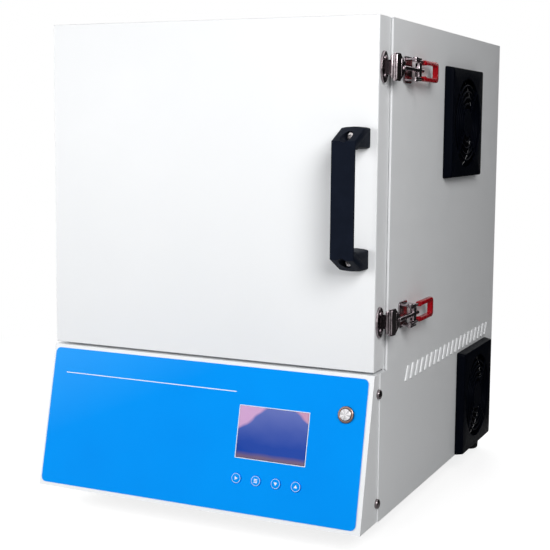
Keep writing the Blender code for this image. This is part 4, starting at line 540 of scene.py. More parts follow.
made = Finish("green_board", (0.015, 0.15, 0.055), 0.4)
tracks = made.add("ShaderNodeTexBrick", {"Scale": 60.0, "Mortar Size": 0.03, "Vector": made.place})
made.tint(tracks.outputs["Fac"], 0.6, (0.05, 0.30, 0.12), 0.0, 1.0)
made.rough(made.noise(4 * MM), 0.3, 0.5)
made.bump(tracks.outputs["Fac"], 0.03 * MM)
board_green = made.material
print("inner finishes ready")

# %% [markdown]
# ## The slope of the control panel
# Everything on the panel is square to its slope and not to the floor. One matrix, worked out from
# the panel's own box, takes places on the slope (across, up and out) to places in the room. The
# same matrix turned round measures nodes on the slope.

# %% Work out the slope
panel_low, panel_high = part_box("control_panel")
door_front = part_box("door_shell")[0].y
slope_angle = math.atan2(door_front - panel_low.y, panel_high.z - panel_low.z)
slope_frame = (Matrix.Translation(((panel_low.x + panel_high.x) / 2, door_front, panel_high.z))
               @ Matrix.Rotation(math.pi / 2 - slope_angle, 4, "X"))


def slope_box(name):
    # A node measured on the slope: its corners (across, up from the top edge, out of it), and the
    # matrix that stands Z upright on its middle.
    back = slope_frame.inverted()
    places = [back @ vertex.co for vertex in nodes[name].data.vertices]
    low, high = (Vector(pick(p[axis] for p in places) for axis in range(3)) for pick in (min, max))
    return low, high, slope_frame @ Matrix.Translation(((low.x + high.x) / 2, (low.y + high.y) / 2, 0))


print("slope leans", round(math.degrees(slope_angle), 2), "degrees")

# %% [markdown]
# ## Helpers that make pieces
# `finished` hands a piece over: it rides on its body and stands for its nodes, which it hides.
# `softened` copies a node, merges its loose triangles and rounds its sharp edges, because no real
# edge is perfectly sharp. `lathe` turns a profile, `plate` thickens an outline and `skin` joins rings
# of points.

# %% Define the helpers
SHARP = math.radians(40)


def link_mesh(name, mesh, material):
    mesh.materials.clear()
    mesh.materials.append(material)
    return stand(name, mesh)


def finished(made, body, slot, *stands_for):
    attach(made, body)
    if stands_for:
        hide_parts(*stands_for)
    return made


def node_slot(name):
    materials = frame["record"]["materials"]
    return next((entry["slot"] for entry in materials if name in entry.get("nodes", [])), materials[0]["slot"])


def plain_mesh(made):
    # The object's mesh with its modifiers worked in.
    bpy.context.view_layer.update()
    seen = made.evaluated_get(bpy.context.evaluated_depsgraph_get())
    mesh = bpy.data.meshes.new_from_object(seen)
    mesh.name = made.name
    return mesh


def worked_in(made):
    made.data = plain_mesh(made)
    made.modifiers.clear()
    return made


def rounded(made, width, segments):
    change = made.modifiers.new("round", "BEVEL")
    change.width = width
    change.segments = segments
    change.angle_limit = SHARP
    change.harden_normals = True
    return worked_in(made)


def shape_mesh(name, shape, smooth=True):
    bmesh.ops.recalc_face_normals(shape, faces=shape.faces)
    mesh = bpy.data.meshes.new(name)
    shape.to_mesh(mesh)
    shape.free()
    if smooth:
        mesh.shade_smooth()
        mesh.set_sharp_from_angle(angle=SHARP)
    return mesh


def softened(name, width, material, segments=2):
    shape = bmesh.new()
    shape.from_mesh(nodes[name].data)
    bmesh.ops.remove_doubles(shape, verts=shape.verts, dist=0.01 * MM)
    bmesh.ops.dissolve_limit(shape, angle_limit=math.radians(1), verts=shape.verts, edges=shape.edges)
    made = link_mesh(name + "_piece", shape_mesh(name + "_piece", shape), material)
    if width:
        rounded(made, width, segments)
    return finished(made, nodes[name]["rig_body"], node_slot(name), name)


def fillet(points, radius, steps=4):
    # Rounds the inner corners of an open profile.
    result = [Vector(points[0])]
    for before, corner, after in zip(points, points[1:], points[2:]):
        before, corner, after = Vector(before), Vector(corner), Vector(after)
        reach = min(radius, (before - corner).length * 0.45, (after - corner).length * 0.45)
        start = corner + (before - corner).normalized() * reach
        end = corner + (after - corner).normalized() * reach
        for step in range(steps + 1):
            share = step / steps
            result.append(start.lerp(corner, share).lerp(corner.lerp(end, share), share))
    result.append(Vector(points[-1]))
    return result


def lathe(name, profile, material, place=Matrix(), steps=64):
    # Turns a profile of (radius, height) points round Z. Ends on the axis close the shape, and
    # a profile that stays off the axis becomes a ring.
    shape = bmesh.new()
    rows = []
    for radius, height in profile:
        turns = [math.tau * s / steps for s in range(1 if radius < 0.001 * MM else steps)]
        rows.append([shape.verts.new((radius * math.cos(turn), radius * math.sin(turn), height))
                     for turn in turns])
    if len(rows[0]) > 1:
        rows.append(rows[0])
    polar = shape.loops.layers.uv.new("polar")
    widest = max(radius for radius, height in profile)
    for first, second in zip(rows, rows[1:]):
        for step in range(steps):
            later = (step + 1) % steps
            near = (first[step % len(first)], second[step % len(second)])
            far = (first[later % len(first)], second[later % len(second)])
            corners = list(dict.fromkeys((near[0], far[0], far[1], near[1])))
            if len(corners) < 3:
                continue
            for loop in shape.faces.new(corners).loops:
                loop[polar].uv = ((step + (loop.vert in far)) / steps, loop.vert.co.xy.length / widest)
    bmesh.ops.transform(shape, matrix=place, verts=shape.verts)
    return link_mesh(name, shape_mesh(name, shape), material)


def rectangle(left, bottom, right, top):
    return [(left, bottom), (right, bottom), (right, top), (left, top)]


def plate(name, outline, low, high, material, place=Matrix()):
    # Closed plate between two heights, from an outline of (across, up) points.
    shape = bmesh.new()
    under = [shape.verts.new((a, b, low)) for a, b in outline]
    over = [shape.verts.new((a, b, high)) for a, b in outline]
    shape.faces.new(under)
    shape.faces.new(over)
    for index in range(len(outline)):
        later = (index + 1) % len(outline)
        shape.faces.new((under[index], under[later], over[later], over[index]))
    bmesh.ops.transform(shape, matrix=place, verts=shape.verts)
    return link_mesh(name, shape_mesh(name, shape, False), material)


def skin(name, loops, material):
    # Closed skin through rings of points: each ring is joined to the next, the last to the first.
    shape = bmesh.new()
    rows = [[shape.verts.new(point) for point in loop] for loop in loops]
    for first, second in zip(rows, rows[1:] + rows[:1]):
        for index in range(len(first)):
            later = (index + 1) % len(first)
            shape.faces.new((first[index], first[later], second[later], second[index]))
    return link_mesh(name, shape_mesh(name, shape), material)


def upright(node):
    # A node's corners and the matrix that moves Z to its middle.
    low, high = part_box(node)
    return low, high, Matrix.Translation(((low.x + high.x) / 2, (low.y + high.y) / 2, 0))


def rearward(node):
    # Turns Z to Y, so a lathe profile's height is the depth behind the room's origin.
    low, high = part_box(node)
    middle = Matrix.Translation(((low.x + high.x) / 2, 0, (low.z + high.z) / 2))
    return low, high, middle @ Matrix.Rotation(-math.pi / 2, 4, "X")


print("helpers ready")

# %% [markdown]
# ## Geometry Nodes: one way to run every tree
# A tree that repeats a shape is built once, with named inputs. `grow` sets those inputs by their
# identifiers, runs the tree and keeps the plain mesh that comes out, so nothing stays live.

# %% Define the tree runner


def new_tree(name, **inputs):
    # Gives the tree, its named inputs, and the socket that takes what the tree makes.
    tree = bpy.data.node_groups.new(name, "GeometryNodeTree")
    for way in ("INPUT", "OUTPUT"):
        tree.interface.new_socket("Geometry", in_out=way, socket_type="NodeSocketGeometry")
    for label, kind in {**inputs, "Material": "Material"}.items():
        tree.interface.new_socket(label, in_out="INPUT", socket_type="NodeSocket" + kind)
    given = add(tree, "NodeGroupInput").outputs
    real = add(tree, "GeometryNodeRealizeInstances")
    paint = add(tree, "GeometryNodeSetMaterial", {"Geometry": real.outputs[0], "Material": given["Material"]})
    add(tree, "NodeGroupOutput", {0: paint.outputs[0]})
    return tree, given, real.inputs[0]


def grow(name, tree, carrier, material, **settings):
    # Runs the tree on a carrier mesh and returns a plain object.
    holder = stand(name, carrier)
    change = holder.modifiers.new("grow", "NODES")
    change.node_group = tree
    settings["Material"] = material
    for item in tree.interface.items_tree:
        if item.in_out == "INPUT" and item.name in settings:
            change[item.identifier] = settings[item.name]
    holder.update_tag()
    mesh = plain_mesh(holder)
    bpy.data.objects.remove(holder)
    print(name, "has", len(mesh.polygons), "faces")
    return link_mesh(name, mesh, material)


print("tree runner ready")

# %% [markdown]
# ## Screws
# Small screws hold the panel's flanges, the rear panel, the mains inlet and the handle. The handle's
# have a socket for a hex key, and all others are one dark dome with a cross slot in three sizes. Each
# point knows which way its screw faces, so a single tree places them all.

# %% Build the two heads
DOME_RADIUS = 4.3 * MM
DOME_RISE = 1.9 * MM
DOME_SUNK = 1.6 * MM
DOME_STEPS = 8
CROSS_SHARE = 0.30
SOCKET_RADIUS = 4.25 * MM
SOCKET_RISE = 3.4 * MM
HOLE_RADIUS = 2.3 * MM


def dome_head():
    turns = [math.pi / 2 * step / DOME_STEPS for step in range(DOME_STEPS + 1)]
    profile = [(DOME_RADIUS * math.sin(turn), DOME_RISE * math.cos(turn)) for turn in turns]
    profile += [(DOME_RADIUS, -DOME_SUNK), (0, -DOME_SUNK)]
    return lathe("dome_head", profile, dark_screw, steps=24)


def socket_head():
    rise, radius = SOCKET_RISE, SOCKET_RADIUS
    profile = fillet([(0, rise), (radius, rise), (radius, -0.1 * MM), (0, -0.1 * MM)], 0.6 * MM)
    return lathe("socket_head", profile, bright_screw, steps=32)


def sunk(head, sides, depth, rise, star=1.0):
    # Cuts a hole with this many sides, or a cross when every second point lies nearer.
    outline = []
    for step in range(sides):
        reach = HOLE_RADIUS * (star if step % 2 else 1.0)
        turn = math.tau * step / sides
        outline.append((reach * math.cos(turn), reach * math.sin(turn)))
    tool = plate("tool", outline, rise - depth, rise + MM, dark_screw)
    change = head.modifiers.new("sink", "BOOLEAN")
    change.operation = "DIFFERENCE"
    change.solver = "EXACT"
    change.object = tool
    worked_in(head)
    bpy.data.objects.remove(tool)
    head.data.shade_smooth()
    head.data.set_sharp_from_angle(angle=math.radians(30))
    return head


cross_head = sunk(dome_head(), 8, 1.2 * MM, DOME_RISE, CROSS_SHARE)
hex_head = sunk(socket_head(), 6, 2.2 * MM, SOCKET_RISE)
print("heads:", len(cross_head.data.polygons), "and", len(hex_head.data.polygons), "faces")

# %% Build the tree that sets screws on points
SCREW_TURN = 1.5
SCREW_SEED = 7


def screw_tree():
    tree, given, result = new_tree("set_screws", Head="Object")
    head = add(tree, "GeometryNodeObjectInfo", {"Object": given["Head"]})
    facing = add(tree, "GeometryNodeInputNamedAttribute", {"Name": "facing"}, data_type="FLOAT_VECTOR")
    turn = add(tree, "FunctionNodeAlignRotationToVector", {"Vector": facing.outputs["Attribute"]}, axis="Z")
    spin = add(tree, "FunctionNodeRandomValue", {"Max": SCREW_TURN, "Seed": SCREW_SEED}, data_type="FLOAT")
    axis = add(tree, "FunctionNodeAxisAngleToRotation", {"Angle": spin.outputs[1]})
    both = add(tree, "FunctionNodeRotateRotation", {"Rotation": turn.outputs[0], "Rotate By": axis.outputs[0]},
               rotation_space="LOCAL")
    copies = add(tree, "GeometryNodeInstanceOnPoints",
                 {"Points": given["Geometry"], "Instance": head.outputs["Geometry"], "Rotation": both.outputs[0]})
    tree.links.new(copies.outputs[0], result)
    return tree


def screws(name, head, places, body="case", material=dark_screw):
    # places is a list of (point, facing).
    carrier = bpy.data.meshes.new(name)
    carrier.from_pydata([point for point, facing in places], [], [])
    facings = carrier.attributes.new("facing", "FLOAT_VECTOR", "POINT")
    for index, (point, facing) in enumerate(places):
        facings.data[index].vector = facing
    finished(grow(name, set_screws, carrier, material, Head=head), body, "button_steel")


set_screws = screw_tree()
print("screw tree has", len(set_screws.nodes), "nodes")

# %% Set the screws
SCREW_BEFORE_SEAM = 2.2 * MM
SCREW_FROM_TOP = 21.6 * MM
SCREW_FROM_BOTTOM = 21.0 * MM
SHEET_STEP = 1.8 * MM
FLANGE_HEAD_SHARE = 1.2
REAR_INSET = 9.0 * MM
INLET_INSET = 5.0 * MM
INLET_HEAD_SHARE = 0.6
HANDLE_SCREW_SEAT = 19.5 * MM
HANDLE_SCREW_INSET = 10.3 * MM


def flange_places():
    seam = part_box("right_side_panel")[0].y - SCREW_BEFORE_SEAM
    sides = ((panel_high.x + SHEET_STEP, 1), (panel_low.x - SHEET_STEP, -1))
    heights = (panel_low.z + SCREW_FROM_BOTTOM, panel_high.z - SCREW_FROM_TOP)
    return [((x, seam, z), (way, 0, 0)) for z in heights for x, way in sides]


def rear_places():
    low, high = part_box("rear_panel")
    left, right = low.x + REAR_INSET, high.x - REAR_INSET
    rows = (low.z + REAR_INSET, high.z - REAR_INSET)
    spots = [(x, z) for x in (left, (low.x + high.x) / 2, right) for z in rows]
    spots += [(x, (low.z + high.z) / 2) for x in (left, right)]
    return [((x, high.y, z), (0, 1, 0)) for x, z in spots]


def inlet_places():
    low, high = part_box("mains_inlet")
    middle = (low.z + high.z) / 2
    return [((x, high.y, middle), (0, 1, 0)) for x in (low.x + INLET_INSET, high.x - INLET_INSET)]


def handle_places():
    low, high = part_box("door_handle")
    middle, seat = (low.x + high.x) / 2, high.y - HANDLE_SCREW_SEAT
    heights = (low.z + HANDLE_SCREW_INSET, high.z - HANDLE_SCREW_INSET)
    return [((middle, seat, z), (0, -1, 0)) for z in heights]


def resized(head, share):
    mesh = head.data.copy()
    mesh.transform(Matrix.Scale(share, 4))
    return stand("resized_head", mesh)


small_head = resized(cross_head, INLET_HEAD_SHARE)
large_head = resized(cross_head, FLANGE_HEAD_SHARE)
screws("flange_screws", large_head, flange_places())
screws("rear_screws", cross_head, rear_places())
screws("inlet_screws", small_head, inlet_places())
screws("handle_screws", hex_head, handle_places(), "door", bright_screw)
for head in (cross_head, hex_head, small_head, large_head):
    bpy.data.objects.remove(head)

# %% [markdown]
# ## The fan covers
# Each cover is a shallow hood with steep sides and a round window, filled with thin rings on four
# ribs. The hood is one closed skin, made by joining rings of points that run from its outer rim up
# the sides, into the window and back along the inside. A flat black base lies under it on the sheet.
# The rings and ribs repeat by a rule, so a Geometry Nodes tree grows them.

# %% Grow the rings and ribs
COVER_RISE_LIP = 2.0 * MM
COVER_SLOPE = 1.2 * MM
COVER_WALL = 2.0 * MM
COVER_EDGE = 1.0 * MM
COVER_FIT = 0.1 * MM
BASE_THICK = 1.0 * MM
COVER_CORNER = 3.0 * MM
WINDOW_RADIUS = 54.5 * MM
RING_FIRST = 23.6 * MM
RING_PITCH = 7.4 * MM
RING_COUNT = 4
RING_WIDE = 2.4 * MM
COVER_HUB = 17.5 * MM
RIB_WIDE = 4.0 * MM
RIB_ROOT = 1.5 * MM


def grille_tree():
    tree, given, result = new_tree("ring_grille", First="Float", Pitch="Float", Count="Int",
                                   Ring_Wide="Float", Hub="Float", Rib_Wide="Float", Reach="Float",
                                   Thick="Float")
    index = add(tree, "GeometryNodeInputIndex").outputs[0]
    points = add(tree, "GeometryNodePoints", {"Count": given["Count"]})
    circle = add(tree, "GeometryNodeCurvePrimitiveCircle", {"Resolution": 96, "Radius": 1.0})
    radius = maths(tree, "ADD", given["First"], maths(tree, "MULTIPLY", index, given["Pitch"]))
    rings = add(tree, "GeometryNodeInstanceOnPoints",
                {"Points": points.outputs[0], "Instance": circle.outputs[0], "Scale": radius})
    flat = add(tree, "GeometryNodeRealizeInstances", {0: rings.outputs[0]})
    section = add(tree, "GeometryNodeCurvePrimitiveCircle",
                  {"Resolution": 8, "Radius": maths(tree, "MULTIPLY", given["Ring_Wide"], 0.5)})
    sweep = add(tree, "GeometryNodeCurveToMesh",
                {"Curve": flat.outputs[0], "Profile Curve": section.outputs[0]})
    hub = add(tree, "GeometryNodeMeshCylinder",
              {"Vertices": 48, "Radius": given["Hub"], "Depth": given["Thick"]})
    size = add(tree, "ShaderNodeCombineXYZ",
               {"X": maths(tree, "MULTIPLY", given["Reach"], 2.0), "Y": given["Rib_Wide"],
                "Z": maths(tree, "MULTIPLY", given["Thick"], 0.9)})
    rib = add(tree, "GeometryNodeMeshCube", {"Size": size.outputs[0]})
    two = add(tree, "GeometryNodePoints", {"Count": 2})
    quarters = maths(tree, "MULTIPLY", index, math.pi / 2)
    turn = add(tree, "ShaderNodeCombineXYZ", {"Z": maths(tree, "ADD", quarters, math.pi / 4)})
    to_turn = add(tree, "FunctionNodeEulerToRotation", {0: turn.outputs[0]})
    ribs = add(tree, "GeometryNodeInstanceOnPoints",
               {"Points": two.outputs[0], "Instance": rib.outputs[0], "Rotation": to_turn.outputs[0]})
    join = add(tree, "GeometryNodeJoinGeometry")
    for part in (sweep.outputs[0], hub.outputs["Mesh"], ribs.outputs[0]):
        tree.links.new(part, join.inputs[0])
    tree.links.new(join.outputs[0], result)
    return tree


ring_grille = grille_tree()
print("grille tree has", len(ring_grille.nodes), "nodes")

# %% Build the hoods and fit the grilles


def rounded_square(half, corner, per_side=10, per_corner=6):
    points = []
    for quarter in range(4):
        turn = quarter * math.pi / 2
        side = [(half, -half + corner + (2 * (half - corner)) * s / per_side) for s in range(per_side)]
        arc = [(half - corner + corner * math.cos(math.pi / 2 * s / per_corner),
                half - corner + corner * math.sin(math.pi / 2 * s / per_corner)) for s in range(per_corner)]
        for a, b in side + arc:
            points.append((a * math.cos(turn) - b * math.sin(turn), a * math.sin(turn) + b * math.cos(turn)))
    return points


def round_window(square):
    return [Vector(point).normalized() * WINDOW_RADIUS for point in square]


def cover(word):
    node = word + "_fan_guard"
    low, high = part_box(node)
    middle_y, middle_z = (low.y + high.y) / 2, (low.z + high.z) / 2
    half = (high.y - low.y) / 2
    seat, top = low.x, high.x

    def upon_side(name, loops):
        rings = [[(x, middle_y + a, middle_z + b) for a, b in loop] for loop, x in loops]
        return skin(name, rings, guard_nylon)

    outer = rounded_square(half, COVER_CORNER)
    small = rounded_square(half - COVER_SLOPE - COVER_EDGE, COVER_CORNER)
    inner = rounded_square(half - COVER_SLOPE - COVER_WALL, COVER_CORNER)
    lip = rounded_square(half - COVER_WALL, COVER_CORNER * 0.5)
    window = round_window(small)
    loops = [(outer, seat), (outer, seat + COVER_RISE_LIP * 0.6), (outer, seat + COVER_RISE_LIP)]
    for turn in (0, math.pi / 6, math.pi / 3):
        edge = rounded_square(half - COVER_EDGE * (1 - math.cos(turn)) - COVER_SLOPE, COVER_CORNER)
        loops.append((edge, top - COVER_EDGE * (1 - math.sin(turn))))
    loops += [(small, top), (window, top), (window, top - COVER_WALL), (inner, top - COVER_WALL),
              (lip, seat + COVER_RISE_LIP), (lip, seat)]
    finished(upon_side(node + "_piece", loops), "case", "black_plastic", node)
    rim = rounded_square(half - COVER_WALL - COVER_FIT, COVER_CORNER)
    mouth = round_window(rim)
    under, over = seat + COVER_FIT, seat + COVER_FIT + BASE_THICK
    base = upon_side(word + "_cover_base", [(rim, under), (rim, over), (mouth, over), (mouth, under)])
    finished(base, "case", "black_plastic")
    grille = grow(word + "_fan_rings", ring_grille, bpy.data.meshes.new("rings"), guard_nylon,
                  First=RING_FIRST, Pitch=RING_PITCH, Count=RING_COUNT, Ring_Wide=RING_WIDE,
                  Hub=COVER_HUB, Rib_Wide=RIB_WIDE, Reach=WINDOW_RADIUS + RIB_ROOT, Thick=COVER_WALL)
    place = Matrix.Translation((top - COVER_WALL * 0.55, middle_y, middle_z))
    grille.data.transform(place @ Matrix.Rotation(math.pi / 2, 4, "Y"))
    finished(grille, "case", "black_plastic")


for word in ("upper", "lower"):
    cover(word)

# %% [markdown]
# ## Fans behind the covers
# The fans only show through the rings. Their nodes have the right blades and frames, so they are
# copied with rounded edges.

# %% Soften the fans
for word in ("upper", "lower"):
    softened(word + "_fan_frame", 0.5 * MM, fan_plastic)
    softened(word + "_fan_rotor", 0.2 * MM, fan_plastic)
print("fans ready")

# %% [markdown]
# ## Power button and keys
# The push button is turned steel: a domed bezel, a fine groove and a face that moves. The keys are
# round caps under the film, each with a printed ring and a sign. Both are turned with a lathe and
# then set on the slope.

# %% Turn the power button
BEZEL_LIP = 1.6 * MM
BEZEL_SIDE = 1.5 * MM
BARREL_RADIUS = 7.8 * MM
GROOVE = 0.35 * MM
BORE_DEEP = 2.2 * MM


def power_button():
    low, high, place = slope_box("power_button_body")
    radius = (high.x - low.x) / 2
    cap_low, cap_high, cap_place = slope_box("power_button_cap")
    cap_radius = (cap_high.x - cap_low.x) / 2
    seat = slope_box("panel_overlay")[1].z + 0.3 * MM
    bore = cap_radius + 0.2 * MM
    rim = fillet([(bore, cap_low.z - BORE_DEEP), (bore, high.z - GROOVE), (bore + BEZEL_LIP * 0.5, high.z),
                  (radius - BEZEL_LIP * 0.3, high.z - GROOVE), (radius, high.z - BEZEL_SIDE),
                  (radius, seat), (BARREL_RADIUS, seat)], 0.8 * MM)
    profile = [(0, cap_low.z - BORE_DEEP - 0.1 * MM)] + rim + [(BARREL_RADIUS, low.z), (0, low.z)]
    body = lathe("power_button_body_piece", profile, button_ring, place)
    finished(body, "case", "chrome_plate", "power_button_body")
    face = fillet([(0, cap_high.z), (cap_radius, cap_high.z), (cap_radius, cap_low.z), (0, cap_low.z)],
                  0.5 * MM)
    cap = lathe("power_button_cap_piece", face, button_face, place)
    finished(cap, "power_button", "button_steel", "power_button_cap")
    return radius


print("bezel across:", round(power_button() * 2 / MM, 2), "mm")

# %% Turn the keys and print their signs
PRINT = 0.06 * MM
RING_INK = 0.32 * MM
SIGN = 2.0 * MM
KEY_RIM = 0.8 * MM
KEY_STEM = 2.0 * MM
KEY_FLANGE_DOWN = 1.5 * MM


def sign_outlines(name):
    # Plain signs: start, menu, down and up.
    if name == "start_key":
        return [[(-SIGN * 0.7, -SIGN), (SIGN, 0), (-SIGN * 0.7, SIGN)]]
    if name == "set_key":
        bar = 0.22 * SIGN
        return [rectangle(-SIGN, row - bar, SIGN, row + bar) for row in (-SIGN * 0.8, 0, SIGN * 0.8)]
    way = -1 if name == "down_key" else 1
    return [[(-SIGN, -SIGN * 0.7 * way), (SIGN, -SIGN * 0.7 * way), (0, SIGN * way)]]


def key(name):
    low, high, place = slope_box(name)
    wide = (high.x - low.x) / 2
    radius = wide - KEY_RIM
    top, foot = -KEY_FLANGE_DOWN, -KEY_FLANGE_DOWN - 0.8 * MM
    profile = fillet([(0, high.z), (radius, high.z), (radius, top), (wide, top), (wide, foot),
                      (KEY_STEM, foot), (KEY_STEM, low.z), (0, low.z)], 0.35 * MM)
    finished(lathe(name + "_piece", profile, blue_film, place, 48), name, "overlay_film", name)
    outside, under, over = radius - 0.5 * MM, high.z - PRINT, high.z + PRINT
    inside = outside - RING_INK
    ring = [(outside, under), (outside, over), (inside, over), (inside, under)]
    finished(lathe(name + "_ring", ring, ink, place, 48), name, "overlay_film")
    for number, outline in enumerate(sign_outlines(name)):
        sign = plate(name + "_sign_" + str(number), outline, under, over, ink, place)
        finished(sign, name, "overlay_film")


for name in ("start_key", "set_key", "down_key", "up_key"):
    key(name)
print("keys ready")

# %% [markdown]
# ## Display and print on the film
# The display is dark glass over an indigo screen. Its glass gets a painted sheen, lighter blue towards the top
# with violet corners at the upper left and upper right, and a brownish band along the bottom where its protective
# film ends.
# A thin pale line frames it, and a white rule runs across the film above. Lettering is left off this model, so
# the rule stands alone.

# %% Make the display
RULE_LEFT = 18.0 * MM
RULE_LONG = 224.0 * MM
RULE_DOWN = 28.5 * MM
RULE_THICK = 0.9 * MM
FRAME_LINE = 0.8 * MM
FRAME_GAP = 0.1 * MM


def screen_glass(middle, wide, tall):
    made = Finish("display_glass", (0.012, 0.058, 0.36), 0.10, Specular_IOR_Level=0.15, Coat_Weight=0.08,
                  Coat_Roughness=0.04)
    flat = made.add("ShaderNodeMapping",
                    {"Vector": made.place, "Location": middle, "Rotation": slope_frame.to_euler(),
                     "Scale": (wide / 2, tall / 2, 1.0)}, vector_type="TEXTURE").outputs["Vector"]
    split = made.add("ShaderNodeSeparateXYZ", {0: flat}).outputs
    waves = made.noise(0.9, 2.0, 0.5, flat)

    def both(first, second, operation="ADD"):
        return maths(made.tree, operation, first, second)

    across, up = split["X"], split["Y"]
    bend = both(waves, 0.6, "MULTIPLY")
    # Painted sheen: lighter blue towards the top of the glass.
    made.tint(both(up, bend), 1.0, (0.12, 0.16, 0.46), -0.1, 1.3)
    # Painted sheen: violet corners at the upper left and the upper right.
    left = both(both(up, across, "SUBTRACT"), bend)
    made.tint(left, 0.9, (0.66, 0.38, 0.62), 1.40, 1.55)
    right = both(both(up, across), bend)
    made.tint(right, 0.9, (0.62, 0.32, 0.46), 1.90, 2.02)
    low = both(up, both(waves, 0.15, "MULTIPLY"))
    made.tint(low, 0.9, (0.19, 0.12, 0.19), -0.66, -0.84)
    made.rough(waves, 0.06, 0.16)
    made.bump(made.noise(9 * MM, 2.0), 0.02 * MM)
    return made.material


def display():
    low, high, place = slope_box("display_window")
    glass = screen_glass(place @ Vector((0, 0, high.z)), high.x - low.x, high.y - low.y)
    softened("display_window", 0.25 * MM, glass)
    film = slope_box("panel_overlay")[1].z
    outer, inner = (rectangle(low.x - away, low.y - away, high.x + away, high.y + away)
                    for away in (FRAME_LINE, FRAME_GAP))
    steps = ((outer, film), (outer, film + PRINT * 2), (inner, film + PRINT * 2), (inner, film))
    loops = [[slope_frame @ Vector((a, b, out)) for a, b in line] for line, out in steps]
    frame_line = skin("display_frame_line", loops, ink)
    frame_line.data.shade_flat()
    finished(frame_line, "case", "overlay_film")


def white_rule():
    low, high, place = slope_box("panel_overlay")
    left, down = low.x + RULE_LEFT, high.y - RULE_DOWN
    outline = rectangle(left, down, left + RULE_LONG, down + RULE_THICK)
    rule = plate("white_rule", outline, high.z, high.z + PRINT, ink, slope_frame)
    finished(rule, "case", "overlay_film")


display()
white_rule()
print("display and rule ready")

# %% [markdown]
# ## Handle, latches and hinges
# These are the pieces that hands touch, so their edges are rounded the most. The latch parts are
# bent and pressed from steel strip before they are plated, and each keeps its node's shape, which
# the joints need. The claws also get beads and a rolled lip, and the red dip gets a little thicker.

# %% Soften the handle, the latches and the hinges
DIP_SKIN = 0.4 * MM
# Distance from the claw's tip (the beads lie behind it, the lip ahead), radius and length.
BEADS = ((2.2 * MM, 1.5 * MM, 26.0 * MM), (13.5 * MM, 1.6 * MM, 18.0 * MM))
TIP_LIP = (0.6 * MM, 1.6 * MM, 24.0 * MM)
PIN_SHANK = 2.5 * MM
PIN_HEAD_TALL = 1.5 * MM


def swollen(made, skin_thick):
    # Moves every point out along its normal, as a dip that was left to build up.
    for vertex in made.data.vertices:
        vertex.co += vertex.normal * skin_thick
    return made


def claw_bead(word, name, radius, tall, centre):
    profile = fillet([(0, -tall / 2), (radius, -tall / 2), (radius, tall / 2), (0, tall / 2)], radius)
    bead = lathe(word + "_hook_" + name, profile, chrome, Matrix.Translation(centre), 24)
    finished(bead, word + "_hook", node_slot(word + "_latch_hook"))


def hook_beads(word):
    # Two pressed beads across the claw's plate and a rolled lip in front of its tip, which catch the
    # light as bright upright lines.
    mesh = nodes[word + "_latch_hook"].data
    tree = BVHTree.FromPolygons([v.co for v in mesh.vertices], [p.vertices for p in mesh.polygons])
    low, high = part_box(word + "_latch_hook")
    middle = (low.z + high.z) / 2
    for number, (behind, radius, tall) in enumerate(BEADS):
        place = Vector((high.x + MM, low.y + behind, middle + tall * 0.3))
        spot = tree.ray_cast(place, Vector((-1, 0, 0)))[0]
        print(word, "bead", number, "lies at", [round(v / MM, 2) for v in spot])
        claw_bead(word, "bead_" + str(number), radius, tall, (spot.x - radius * 0.45, spot.y, middle))
    ahead, radius, tall = TIP_LIP
    claw_bead(word, "lip", radius, tall, (low.x - radius * 0.7, low.y - ahead, middle))


def hinge_pin(node):
    low, high, place = upright(node)
    head, neck = (high.x - low.x) / 2, high.z - PIN_HEAD_TALL
    profile = fillet([(0, low.z), (PIN_SHANK, low.z), (PIN_SHANK, neck), (head, neck), (head, high.z),
                      (0, high.z)], 0.4 * MM)
    finished(lathe(node + "_piece", profile, hinge_steel, place, 32), "case", "stainless", node)


softened("door_handle", 0.5 * MM, handle_nylon, 3)
for word in ("upper", "lower"):
    for part in ("_keeper", "_latch_hook", "_latch_lever"):
        softened(word + part, 0.35 * MM, chrome, 3)
    softened(word + "_latch_bracket", 0.40 * MM, chrome, 3)
    swollen(softened(word + "_lever_grip", 0.3 * MM, red_dip, 3), DIP_SKIN)
    hook_beads(word)
    softened(word + "_hinge_case_leaf", 0.3 * MM, hinge_steel)
    softened(word + "_hinge_door_leaf", 0.3 * MM, hinge_steel)
    hinge_pin(word + "_hinge_pin")
print("handle, latches and hinges ready")

# %% [markdown]
# ## Door, feet, port and probe
# The door is one folded pan with soft corners, and a folded lip closes the slot on each side of the
# front sheet behind it. Feet, vacuum port and probe are all turned parts, so each is a lathe profile
# with rounded corners, measured from its node's box.

# %% Make the door and the turned parts
LIP_INSET = 0.35 * MM
LIP_OVER = 0.1 * MM
LIP_THICK = 1.2 * MM
LIP_PROUD = 0.9 * MM
LIP_BEVEL = 0.85 * MM
FOOT_TAPER = 1.5 * MM
FOOT_HOLLOW = 3.0 * MM
TUBE_RADIUS = 14.0 * MM
TUBE_BORE = 11.0 * MM
PORT_RIM_TALL = 4.0 * MM
PORT_RIM_FROM = 7.0 * MM
SHEATH_RADIUS = 3.0 * MM
PROBE_HEAD_LONG = 24.0 * MM


def foot(node):
    low, high, place = upright(node)
    top = (high.x - low.x) / 2
    sole = top - FOOT_TAPER
    profile = fillet([(0, high.z), (top, high.z), (sole, low.z + 2 * MM), (sole - 2 * MM, low.z),
                      (5 * MM, low.z), (4 * MM, low.z + FOOT_HOLLOW), (0, low.z + FOOT_HOLLOW)], 1.2 * MM)
    finished(lathe(node + "_piece", profile, foot_rubber, place), "case", "black_rubber", node)


